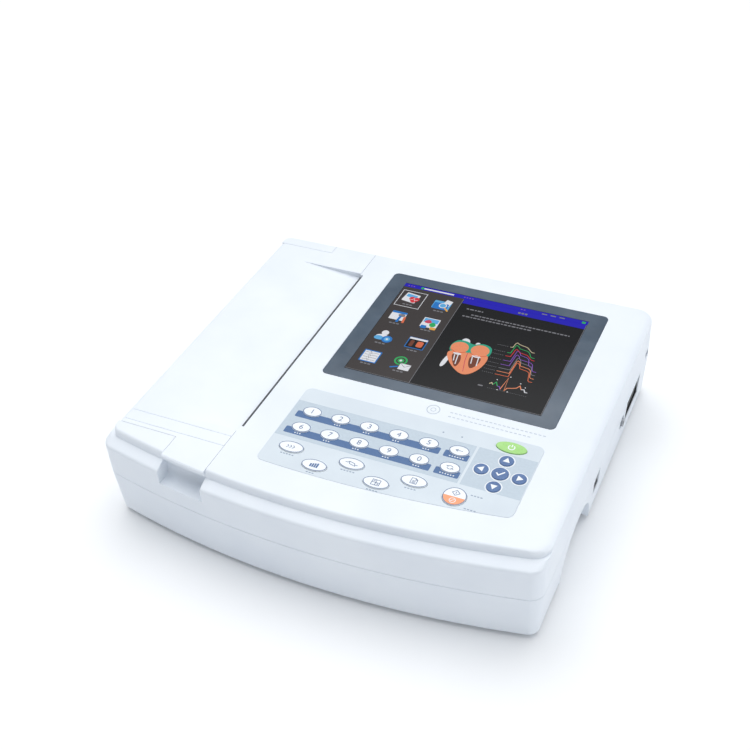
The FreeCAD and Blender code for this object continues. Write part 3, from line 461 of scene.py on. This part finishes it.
# %% Blue bars and the marks on them
BAR_FRONT, BAR_REAR, BAR_CORNER = 8.2 * MM, 1.4 * MM, 1.0 * MM
LONG_BAR = key_spot("1")[0] - 11.2 * MM, key_spot("5")[0] + 10.2 * MM
SHORT_BAR = key_spot("backspace")[0] - 9.8 * MM, key_spot("backspace")[0] + 8.7 * MM
bars = bmesh.new()
marks = bmesh.new()
for y in (row_one, row_two):
    for bar_left, bar_right in (LONG_BAR, SHORT_BAR):
        add_bar(bars, bar_left, bar_right, y - BAR_FRONT, y - BAR_REAR, BAR_CORNER)
print_piece("keypad_bars", bars, SHEET_TOP + INK, INK_BLUE, "case")

for name in ("2", "3", "4", "5", "6", "7", "8", "9", "0", "backspace", "shift"):
    x, y, _, _ = key_spot(name)
    wide = name in ("backspace", "shift")
    for i in range(6 if wide else 3):
        spot = x + (i - (2.5 if wide else 1.0)) * 2.0 * MM
        add_bar(marks, spot - 0.55 * MM, spot + 0.55 * MM, y - 6.8 * MM, y - 5.9 * MM, 0.3 * MM)
print_piece("keypad_bar_marks", marks, SHEET_TOP + 2 * INK, INK_WHITE, "case")
print("bars in mm:", [round((high - low) / MM, 1) for low, high in (LONG_BAR, SHORT_BAR)])

# %% [markdown]
# Under each function key the real sheet carries a word. Words are not drawn here: a short row of
# dashes keeps the rhythm of the layout without spelling anything. Two tiny lamps sit above the
# backspace key, and the arrow keys stand in printed white rings. The deck behind the keypad carries
# a notice to the user on the real machine; here it is two pale rows of dashes and a ring.

# %% Dashes, lamps and rings on the sheet
dashes = bmesh.new()
for name, count in (("speed", 5), ("gain", 3), ("filter", 5), ("mode", 4), ("print", 4)):
    x, y, _, b = key_spot(name)
    for i in range(count):
        spot = x + (i - (count - 1) / 2) * 2.3 * MM
        add_bar(dashes, spot - 0.8 * MM, spot + 0.8 * MM, y - b - 2.3 * MM, y - b - 1.4 * MM, 0.3 * MM)
start_x, start_y, start_a, _ = key_spot("start")
for rise in (5.7, -7.6):
    for i in range(4):
        spot = start_x + start_a + (1.2 + 2.3 * i) * MM
        add_bar(dashes, spot, spot + 1.6 * MM, start_y + (rise - 0.45) * MM,
                start_y + (rise + 0.45) * MM, 0.3 * MM)
print_piece("keypad_dashes", dashes, SHEET_TOP, INK_GREY, "case")

lamps = bmesh.new()
for x in (key_spot("print")[0], key_spot("backspace")[0] - 3.7 * MM):
    add_oval(lamps, x, row_one + 14.7 * MM, 0.7 * MM, 0.7 * MM, 20)
print_piece("keypad_lamps", lamps, SHEET_TOP, INK_GREY, "case")

rings = bmesh.new()
for name in ("up", "down", "left", "right", "ok"):
    x, y, a, b = key_spot(name)
    add_ring(rings, x, y, a + 1.05 * MM, b + 1.05 * MM, 0.75 * MM)
print_piece("keypad_rings", rings, SHEET_TOP + INK, INK_WHITE, "case")
print("dashes, 2 lamps and 5 rings")

# %% Dashes on the deck
DASH, DASH_PITCH, DASH_HALF_HEIGHT = 2.3 * MM, 3.4 * MM, 0.45 * MM
NOTICE_LEFT = 63.0 * MM
SIGN_X, SIGN_Y = 50.0 * MM, -21.5 * MM
notice = bmesh.new()
for row, count in ((-20.0 * MM, 22), (-24.6 * MM, 19)):
    for i in range(count):
        x = NOTICE_LEFT + i * DASH_PITCH
        add_bar(notice, x, x + DASH, row - DASH_HALF_HEIGHT, row + DASH_HALF_HEIGHT, 0.3 * MM)
add_ring(notice, SIGN_X, SIGN_Y, 5.2 * MM, 5.2 * MM, 0.8 * MM)
add_ring(notice, SIGN_X, SIGN_Y, 2.2 * MM, 2.2 * MM, 0.6 * MM)
print_piece("deck_dashes", notice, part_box("top_case")[1].z, INK_PALE, "case")
print("deck notice, plain")

# %% [markdown]
# ## Key faces
#
# Every white cap is edged with a blue-grey line. The number keys keep their digits, which are
# generic. The other keys get plain pictures: chevrons for speed, bars for gain, a wave through a
# frame for the filter, four panes for the mode, a page for print. Each drawing is a list of pen
# strokes in millimetres around the middle of its key.

# %% Pictures on the keys
STROKE = 0.5
DIGIT_HEIGHT = 4.9 * MM
GLYPHS = {
    "backspace": [[(2.6, 0), (-2.4, 0)], [(-0.8, 1.2), (-2.6, 0), (-0.8, -1.2)]],
    "shift": [[(2.2 * cos(radians(t)), 1.7 * sin(radians(t))) for t in range(20, 161, 20)],
              [(2.2 * cos(radians(t)), 1.7 * sin(radians(t))) for t in range(200, 341, 20)],
              [(-2.9, 1.5), (-2.1, 0.5), (-1.0, 1.1)], [(2.9, -1.5), (2.1, -0.5), (1.0, -1.1)]],
    "speed": [[(-3.6 + dx, 1.5), (-2.2 + dx, 0), (-3.6 + dx, -1.5)] for dx in (0, 2.4, 4.8)],
    "filter": [[(-5.0, 0.4), (-3.0, 0.4), (-2.2, 1.6), (2.0, 0.6), (3.2, -1.8), (-1.4, -0.8), (-2.2, 1.6)],
               [(2.9, -0.7), (5.0, -0.7)]],
    "mode": [[(-3, -2.6), (-3, 2.6), (3, 2.6), (3, -2.6), (-3, -2.6)], [(-3, 0), (3, 0)],
             [(0, -2.6), (0, 2.6)], [(-2.3, 1.0), (-1.5, 1.9), (-0.8, 0.9)],
             [(0.8, -1.7), (1.6, -0.8), (2.3, -1.8)]],
    "print": [[(-2.2, -2.6), (-2.2, 2.6), (0.9, 2.6), (2.4, 1.2), (2.4, -2.6), (-2.2, -2.6)],
              [(0.9, 2.6), (0.9, 1.2), (2.4, 1.2)], [(-1.2, 0.2), (1.4, 0.2)],
              [(-1.2, -0.8), (1.4, -0.8)], [(-1.2, -1.8), (1.4, -1.8)]],
    "power": [[(2.3 * cos(radians(t)), 2.3 * sin(radians(t))) for t in range(130, 411, 20)],
              [(0, 0.4), (0, 2.9)]],
    "ok": [[(-2.7, 0.1), (-0.8, -1.9), (2.9, 2.2)]],
}
THICK_GLYPHS = {"power": 0.8, "ok": 1.1}


def stroke_glyph(bm, name, x, y):
    for path in GLYPHS[name]:
        placed = [(x + px * MM, y + py * MM) for px, py in path]
        add_stroke(bm, placed, THICK_GLYPHS.get(name, STROKE) * MM)


def draw_key(name, colour):
    """Prints the picture or digit of one key on its cap."""
    x, y, _, _ = key_spot(name)
    face = bmesh.new()
    if name.isdigit():
        add_digit(face, name, x, y, DIGIT_HEIGHT)
    elif name == "gain":
        for i in range(4):
            add_bar(face, x + (-3.2 + 1.7 * i) * MM, x + (-1.9 + 1.7 * i) * MM, y - 2.3 * MM,
                    y + (0.9 + 0.45 * i) * MM)
    elif name in ("up", "down", "left", "right"):
        arrow = add_oval(face, 0, 0, 3.0 * MM, 3.0 * MM, 3)
        turn = {"up": 0, "left": 90, "down": 180, "right": 270}[name]
        bmesh.ops.rotate(face, cent=(0, 0, 0), matrix=Matrix.Rotation(radians(turn), 3, "Z"),
                         verts=arrow)
        bmesh.ops.translate(face, vec=(x, y, 0), verts=arrow)
    else:
        stroke_glyph(face, name, x, y)
    print_piece("face_" + name, face, CAP_TOP, colour, "button_" + name)


def edge_key(name):
    x, y, a, b = key_spot(name)
    ring = bmesh.new()
    add_ring(ring, x, y, a - 0.12 * MM, b - 0.12 * MM, 0.55 * MM)
    print_piece("edge_" + name, ring, CAP_TOP - 0.3 * INK, INK_LINE, "button_" + name)


NUMBERS = [str(i) for i in range(10)]
OTHERS = ["backspace", "shift", "speed", "gain", "filter", "mode", "print"]
for name in NUMBERS + OTHERS:
    edge_key(name)
    draw_key(name, INK_BLUE if name == "gain" else INK_LINE)
for name in ("up", "down", "left", "right", "ok", "power"):
    draw_key(name, INK_WHITE)
edge_key("start")
print("printed", len(NUMBERS + OTHERS) + 7, "keys")

# %% [markdown]
# The start and stop key is one round cap in two colours. A full disc is cut straight across with
# bisect_plane and only the lower half is kept, in orange. A diamond sits on the white half and a
# barred circle on the orange one.

# %% Two-tone key
lower = bmesh.new()
add_oval(lower, start_x, start_y, start_a - 0.7 * MM, start_a - 0.7 * MM)
bmesh.ops.bisect_plane(lower, geom=lower.verts[:] + lower.edges[:] + lower.faces[:],
                       plane_co=(0, start_y - 0.4 * MM, 0), plane_no=(0, 1, 0), clear_outer=True)
print_piece("start_lower_half", lower, CAP_TOP, INK_ORANGE, "button_start")

diamond = bmesh.new()
DIAMOND = [(-2.8, 3.4), (0, 5.9), (2.8, 3.4), (0, 0.9)]
add_stroke(diamond, [(start_x + px * MM, start_y + py * MM) for px, py in DIAMOND], 0.5 * MM, True)
add_stroke(diamond, [(start_x, start_y + 2.3 * MM), (start_x, start_y + 4.5 * MM)], 0.5 * MM)
print_piece("start_diamond", diamond, CAP_TOP, INK_LINE, "button_start")

barred = bmesh.new()
add_ring(barred, start_x, start_y - 4.0 * MM, 2.4 * MM, 2.4 * MM, 0.5 * MM)
add_stroke(barred, [(start_x - 1.5 * MM, start_y - 5.5 * MM), (start_x + 1.5 * MM, start_y - 2.5 * MM)],
           0.5 * MM)
print_piece("start_barred_circle", barred, CAP_TOP + INK, INK_WHITE, "button_start")
print("start key is", round(2 * start_a / MM, 1), "mm across")

# %% [markdown]
# ## Display
#
# The picture glows through the window, so its materials give off a little light of their own and
# keep the gloss of the glass. A fine dot pattern in each colour stands for the dots of the panel.
# The dark face comes first, a hair above the window, then panes, bars, icons and traces, each one
# ink-thickness higher.

# %% Glowing colours
DOT_MM = 0.27


def glow(name, red, green, blue, strength=0.9):
    material = bpy.data.materials.new(name)
    material.use_nodes = True
    tree = material.node_tree
    shader = tree.nodes["Principled BSDF"]
    shader.inputs["Base Color"].default_value = tone(12, 12, 14)
    shader.inputs["Roughness"].default_value = 0.16
    shader.inputs["Specular IOR Level"].default_value = 0.15
    shader.inputs["Emission Strength"].default_value = strength
    bright = tone(red, green, blue)
    ramp = tree.nodes.new("ShaderNodeValToRGB")
    ramp.color_ramp.elements[0].color = (*[0.80 * c for c in bright[:3]], 1)
    ramp.color_ramp.elements[1].color = (*[min(1.05 * c, 1) for c in bright[:3]], 1)
    ramp.color_ramp.elements[0].position, ramp.color_ramp.elements[1].position = 0.2, 0.8
    tree.links.new(noise(tree, DOT_MM, 0.0), ramp.inputs["Fac"])
    tree.links.new(ramp.outputs["Color"], shader.inputs["Emission Color"])
    return material


GLOW = {
    "black": glow("glow_black", 7, 7, 8, 0.6),
    "pane": glow("glow_pane", 62, 57, 56, 0.9),
    "blue": glow("glow_blue", 24, 14, 178, 1.0),
    "white": glow("glow_white", 236, 238, 244, 0.9),
    "grey": glow("glow_grey", 128, 128, 134, 0.9),
    "sky": glow("glow_sky", 96, 178, 232, 0.9),
    "azure": glow("glow_azure", 34, 122, 204, 0.9),
    "red": glow("glow_red", 222, 52, 62, 0.9),
    "green": glow("glow_green", 44, 176, 96, 0.9),
    "teal": glow("glow_teal", 40, 168, 136, 0.9),
    "peach": glow("glow_peach", 238, 146, 104, 0.95),
    "coral": glow("glow_coral", 226, 112, 74, 0.9),
    "cocoa": glow("glow_cocoa", 120, 62, 40, 0.9),
    "amber": glow("glow_amber", 236, 172, 74, 0.9),
    "violet": glow("glow_violet", 136, 86, 190, 0.9),
    "rose": glow("glow_rose", 206, 70, 96, 0.9),
    "cream": glow("glow_cream", 222, 208, 172, 0.9),
}

print(len(GLOW), "glowing colours")

# %% The lit area
window_low, window_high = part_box("display_window")
MARGIN_LEFT, MARGIN_RIGHT, MARGIN_FRONT, MARGIN_REAR = 14.6 * MM, 13.6 * MM, 11.4 * MM, 11.2 * MM
screen_x, screen_y = window_low.x + MARGIN_LEFT, window_low.y + MARGIN_FRONT
screen_w = window_high.x - MARGIN_RIGHT - screen_x
screen_h = window_high.y - MARGIN_REAR - screen_y
WINDOW_TOP = window_high.z
print("lit area in mm:", round(screen_w / MM, 1), round(screen_h / MM, 1))

drawings = {}


def ink_of(colour, layer):
    """The drawing that collects every shape of one colour on one layer."""
    return drawings.setdefault((colour, layer), bmesh.new())


def bar(colour, layer, x0, x1, y0, y1, radius=0.0, turn=0.0):
    """A bar in millimetres from the lower left corner of the lit area."""
    add_bar(ink_of(colour, layer), screen_x + x0 * MM, screen_x + x1 * MM, screen_y + y0 * MM,
            screen_y + y1 * MM, radius * MM, turn)


def spot(colour, layer, x, y, a, b):
    add_oval(ink_of(colour, layer), screen_x + x * MM, screen_y + y * MM, a * MM, b * MM, 32)


def line(colour, layer, path, width, closed=False):
    add_stroke(ink_of(colour, layer), [(screen_x + x * MM, screen_y + y * MM) for x, y in path],
               width * MM, closed)


def blob(colour, layer, points):
    add_blob(ink_of(colour, layer), [(screen_x + x * MM, screen_y + y * MM) for x, y in points])


# %% [markdown]
# The screen is laid out like most recorder menus: a blue status bar over everything, a column of
# eight icons on a dark grey pane, and a large help picture beside it.

# %% Panes and bars
W, H = screen_w / MM, screen_h / MM
MENU = 54.5                 # width of the icon pane
bar("black", 0, 0, W, 0, H)
bar("pane", 1, 0.4, MENU, 1.0, H - 5.2)
bar("blue", 1, 0, W, H - 5.2, H - 0.5)
bar("blue", 1, MENU + 1.0, W - 0.6, H - 11.2, H - 5.0)
line("grey", 2, [(MENU + 0.4, 1.0), (MENU + 0.4, H - 6)], 0.45)
line("grey", 2, [(0.6, 0.9), (W - 0.6, 0.9)], 0.35)
line("grey", 2, [(W - 0.5, 0.9), (W - 0.5, H - 5.5)], 0.35)
bar("white", 2, 18.0, 45.0, H - 3.9, H - 2.2, 0.3)
spot("green", 3, 16.6, H - 3.0, 1.5, 1.5)
for x in (3.2, 5.6, 8.0, 54.0, 56.4, 58.8, 61.2, 104.0, 106.5):
    bar("violet", 2, x, x + 1.4, H - 3.5, H - 2.5, 0.2)
for x in (122.0, 129.5, 137.0):
    bar("grey", 2, x, x + 4.5, H - 3.6, H - 2.4, 0.2)
bar("green", 2, W - 5.0, W - 2.0, H - 4.2, H - 1.6, 0.4)
for x in (103.5, 106.4, 109.3):
    bar("grey", 2, x, x + 2.1, H - 9.2, H - 7.2, 0.3)

# %% Lines that stand for sentences
for y, x0, x1 in ((105.6, 62.0, 76.5), (98.9, 68.5, 152.0), (95.4, 62.0, 121.0)):
    x = x0
    step = 0
    while x < x1:
        length = (2.2, 3.4, 1.6, 2.8)[step % 4]
        bar("grey", 2, x, min(x + length, x1), y - 0.7, y + 0.7, 0.3)
        x += length + 0.8
        step += 1

# %% [markdown]
# Each icon is a little scene of three or four shapes: a heart on a card, a folder with a lens, a
# panel with two tools, a picture, a pair of round figures, a panel with two bars, a chart, and a
# round badge with a note. They are drawn around the middle of their cell.

# %% Icons
COLUMNS, ROWS = (13.4, 41.2), (103.4, 75.9, 47.6, 20.0)
cells = [(x, y) for y in ROWS for x in COLUMNS]


def icon_heart(x, y):
    bar("white", 2, x - 7, x + 5.5, y - 5.5, y + 6.5, 1.0, radians(-8))
    bar("sky", 3, x - 5.5, x + 4, y + 1.0, y + 5.0, 0.6, radians(-8))
    for side in (-1, 1):
        spot("red", 4, x + 2.6 + side * 2.0, y - 0.2, 2.5, 2.5)
    blob("red", 5, [(x - 2.2, y - 0.6), (x + 2.6, y + 1.6), (x + 7.4, y - 0.6), (x + 2.7, y - 7.4)])
    line("white", 6, [(x - 0.6, y - 1.6), (x + 1.4, y - 1.6), (x + 2.5, y + 0.6), (x + 3.6, y - 3.0),
                      (x + 4.4, y - 1.6), (x + 6.0, y - 1.6)], 0.4)


def icon_folder(x, y):
    bar("sky", 2, x - 8, x + 7, y - 6, y + 5, 1.0)
    bar("white", 3, x + 0.5, x + 6.5, y - 0.5, y + 7.5, 0.6, radians(-12))
    bar("azure", 4, x - 7.4, x + 5.4, y - 6.4, y + 2.2, 1.0)
    spot("white", 5, x + 0.8, y - 0.8, 3.4, 3.4)
    spot("sky", 6, x + 0.8, y - 0.8, 2.6, 2.6)
    line("amber", 5, [(x + 3.2, y - 3.4), (x + 7.2, y - 7.2)], 1.5)


def icon_tools(x, y):
    bar("white", 2, x - 7.5, x + 5.5, y - 4.5, y + 7.0, 0.8)
    bar("azure", 3, x - 7.5, x + 5.5, y + 4.4, y + 7.0, 0.8)
    spot("grey", 4, x + 2.0, y + 2.4, 3.0, 2.0)
    line("azure", 5, [(x + 1.5, y + 1.2), (x + 0.8, y - 7.2)], 2.2)
    line("coral", 5, [(x + 5.2, y + 1.2), (x + 6.2, y - 7.0)], 2.0)


def icon_picture(x, y):
    bar("white", 2, x - 7, x + 7, y - 5.5, y + 7.2, 0.6)
    bar("sky", 3, x - 6.2, x + 6.2, y + 1.0, y + 6.4)
    blob("rose", 4, [(x - 6, y + 1), (x - 2, y + 5.6), (x + 2, y + 1.4), (x - 2, y - 0.6)])
    blob("green", 4, [(x - 1, y - 1), (x + 3, y + 3.0), (x + 6.4, y - 1.4), (x + 3, y - 5)])
    bar("azure", 3, x - 6.0, x - 1.2, y - 7.4, y - 3.4, 0.6)
    bar("amber", 5, x + 2.2, x + 7.2, y - 7.4, y - 4.2, 0.6)


def icon_figures(x, y):
    spot("white", 2, x - 1.2, y + 4.6, 3.0, 3.2)
    blob("white", 2, [(x - 8, y - 4.5), (x - 6.6, y + 2.0), (x + 3.6, y + 2.0), (x + 6.4, y - 4.5)])
    blob("sky", 3, [(x - 8.2, y - 5.4), (x - 7.4, y - 0.2), (x - 0.6, y - 0.2), (x + 0.6, y - 5.4)])
    spot("azure", 4, x + 3.4, y - 3.0, 4.4, 4.4)
    spot("sky", 5, x + 3.4, y - 3.0, 2.6, 2.6)
    spot("white", 6, x + 3.4, y - 3.0, 1.0, 1.0)


def icon_panel(x, y):
    bar("azure", 2, x - 8, x + 8, y - 6.6, y + 7.2, 0.5)
    bar("black", 3, x - 7.3, x + 7.3, y - 5.9, y + 4.6)
    bar("white", 3, x - 7.6, x + 7.6, y + 4.6, y + 6.8)
    bar("cocoa", 4, x - 5.4, x - 2.2, y - 4.6, y + 3.2, 1.2)
    bar("coral", 4, x + 0.4, x + 5.8, y - 4.0, y + 3.2, 1.6)


def icon_chart(x, y):
    bar("azure", 2, x - 7.4, x + 7.4, y - 7.2, y + 7.6, 0.6)
    bar("white", 3, x - 6.4, x + 6.4, y - 6.2, y + 6.4, 0.3)
    for i in range(4):
        height = y + 4.6 - 3.0 * i
        line("grey", 4, [(x - 5.6, height), (x - 2.2, height), (x - 1.4, height + 1.6),
                         (x - 0.4, height - 1.2), (x + 0.4, height), (x + 5.6, height)], 0.35)


def icon_badge(x, y):
    spot("green", 2, x - 2.8, y + 3.4, 5.4, 5.4)
    spot("pane", 3, x - 2.8, y + 3.4, 3.9, 3.9)
    spot("green", 4, x - 2.8, y + 3.4, 2.6, 2.6)
    spot("white", 5, x - 2.8, y + 3.4, 1.1, 1.1)
    bar("white", 5, x - 1.5, x + 7.5, y - 7.0, y + 0.4, 0.5)
    line("grey", 6, [(x - 1.2, y + 0.1), (x + 3.0, y - 3.4), (x + 7.2, y + 0.1)], 0.4)
    line("azure", 5, [(x - 8.0, y - 6.8), (x - 2.2, y - 4.0)], 1.4)


ICONS = [icon_heart, icon_folder, icon_tools, icon_picture, icon_figures, icon_panel, icon_chart,
         icon_badge]
for icon, (x, y) in zip(ICONS, cells):
    icon(x, y)
    for i in range(3):
        bar("grey", 2, x - 4.4 + 3.1 * i, x - 2.0 + 3.1 * i, y - 10.0, y - 8.7, 0.3)
first_x, first_y = cells[0]
line("white", 2, [(first_x - 10.8, first_y - 12.6), (first_x - 10.8, first_y + 9.6),
                  (first_x + 10.8, first_y + 9.6), (first_x + 10.8, first_y - 12.6)], 0.5, True)
print(len(ICONS), "icons")

# %% [markdown]
# The help picture shows a plain heart in section: two round upper chambers, two long lower ones with
# darker hollows, a green lining and short pale vessels. Eight dotted leads run from it to eight small
# traces, and one beat of an electrocardiogram stands below them.

# %% Heart in section
HX, HY = 84.5, 47.0         # middle of the heart
blob("white", 2, [(HX - 16.6, HY - 19), (HX - 12.6, HY - 19), (HX - 11.6, HY - 4), (HX - 15.0, HY - 3)])
blob("white", 2, [(HX - 12, HY + 14), (HX - 9.5, HY + 21.5), (HX - 4, HY + 20), (HX - 3, HY + 13)])
blob("white", 2, [(HX + 1.2, HY + 13), (HX + 1.4, HY + 19), (HX + 5.0, HY + 19), (HX + 5.5, HY + 13)])
blob("teal", 3, [(HX - 17.6, HY + 1), (HX - 15.5, HY + 17), (HX - 6, HY + 18), (HX + 0, HY + 14.5),
                 (HX + 7, HY + 19.5), (HX + 17, HY + 16), (HX + 16.5, HY + 1), (HX, HY - 5)])
blob("peach", 4, [(HX - 15.4, HY + 3), (HX - 16, HY - 4), (HX - 6, HY - 17), (HX + 6.5, HY - 24.5),
                  (HX + 16, HY - 12), (HX + 17.5, HY + 6), (HX + 9, HY + 6), (HX, HY + 3.5)])
spot("peach", 5, HX - 9.0, HY + 8.2, 7.2, 7.0)
spot("peach", 5, HX + 7.6, HY + 9.6, 7.4, 7.0)
line("coral", 6, [(HX - 15.6, HY + 4.5), (HX - 9, HY + 0.6), (HX - 2.2, HY + 4.2)], 0.8)
line("coral", 6, [(HX + 0.6, HY + 4.4), (HX + 7.6, HY + 1.6), (HX + 15.2, HY + 5.0)], 0.8)
blob("cocoa", 5, [(HX - 12.5, HY - 0.5), (HX - 5.2, HY + 1.5), (HX - 2.0, HY - 8), (HX - 3.4, HY - 17.5),
                  (HX - 8.5, HY - 10)])
blob("cocoa", 5, [(HX + 2.2, HY + 1.5), (HX + 12.0, HY + 2.5), (HX + 12.4, HY - 7), (HX + 8.0, HY - 15),
                  (HX + 4.2, HY - 9)])
for x, top, foot in ((-9.5, -1.5, -9.0), (-6.8, -0.8, -12.5), (4.6, 0.5, -8.0), (9.6, 1.2, -9.5)):
    line("white", 6, [(HX + x, HY + top), (HX + x + 1.8, HY + foot)], 0.8)
spot("white", 6, HX - 8.0, HY + 0.2, 3.4, 1.3)
spot("white", 6, HX + 7.4, HY + 1.6, 3.6, 1.3)
line("rose", 6, [(HX - 0.6, HY + 4.0), (HX + 0.8, HY - 6), (HX + 4.0, HY - 19)], 0.5)

# %% Leads and traces
LEAD_END, TRACE_X = 111.6, 112.6
LEADS = [
    (69.6, "cream", 116.4, 76.6, 133.0, 68.8),
    (62.2, "green", 117.2, 73.4, 135.0, 62.4),
    (57.9, "red", 118.6, 68.4, 136.0, 59.4),
    (52.2, "violet", 120.4, 66.8, 137.0, 51.6),
    (46.8, "violet", 121.4, 62.0, 141.6, 46.6),
    (42.2, "grey", 123.6, 58.6, 142.0, 42.4),
    (38.0, "peach", 124.4, 55.2, 142.4, 38.2),
    (34.0, "coral", 125.0, 52.4, 142.4, 34.0),
]
for y, colour, peak_x, peak_y, end_x, end_y in LEADS:
    x = HX + 17.6
    while x < LEAD_END:
        bar("grey", 2, x, x + 0.8, y - 0.2, y + 0.2)
        x += 1.6
    plateau = peak_y - 0.35 * (peak_y - y)
    path = [(TRACE_X, y), (peak_x - 1.8, y + 0.2), (peak_x - 0.9, peak_y - 1.0), (peak_x, peak_y),
            (peak_x + 1.6, peak_y - 1.2), (peak_x + 3.4, plateau + 0.6), (end_x - 7.5, plateau - 0.6),
            (end_x - 5.5, plateau - 2.4), (end_x - 3.6, end_y + 1.0), (end_x - 2.4, end_y), (end_x, end_y)]
    line(colour, 3, path, 0.55)

# %% One beat
line("cream", 3, [(112.6, 21.6), (114.0, 23.4), (115.4, 21.4)], 0.7)
line("green", 3, [(115.4, 21.4), (117.2, 25.2), (119.2, 21.0)], 0.7)
line("violet", 3, [(119.2, 21.0), (121.4, 20.6), (122.4, 17.8)], 0.7)
line("peach", 3, [(122.4, 17.8), (124.2, 33.0), (125.8, 17.4), (127.0, 21.0), (131.0, 22.4),
                  (133.6, 23.6), (135.4, 27.0), (137.4, 23.2)], 0.75)
line("white", 3, [(137.4, 23.2), (139.6, 23.8), (141.0, 21.0), (143.0, 21.2)], 0.7)
x = 112.8
while x < 144:
    bar("grey", 2, x, x + 0.7, 16.6, 16.9)
    x += 1.5
bar("grey", 2, 105.0, 108.8, 16.6, 18.0, 0.3)
for x, y in ((116.8, 28.0), (125.4, 34.4), (135.0, 29.6), (139.8, 26.2), (120.6, 16.8), (128.6, 17.0)):
    spot("white", 4, x, y, 0.5, 0.5)

# %% Every drawing becomes a piece
for (colour, layer), drawing in sorted(drawings.items()):
    print_piece("screen_" + colour + "_" + str(layer), drawing, WINDOW_TOP + layer * INK, GLOW[colour],
                "case")
print(len(drawings), "pieces of screen picture")

# %% [markdown]
# ## Floor
#
# Last comes the paper the machine stands on, which is not part of the machine.

# %% Floor
floor_bm = bmesh.new()
bmesh.ops.create_grid(floor_bm, x_segments=1, y_segments=1, size=FLOOR_SIZE / 2)
floor_mesh = bpy.data.meshes.new("floor")
floor_bm.to_mesh(floor_mesh)
floor_bm.free()
floor_mesh.materials.append(finish("studio_paper", (250, 251, 252), (254, 254, 255), (0.85, 0.95), 900,
                                   3.0, 0.02))
floor = bpy.data.objects.new("floor", floor_mesh)
bpy.context.scene.collection.objects.link(floor)
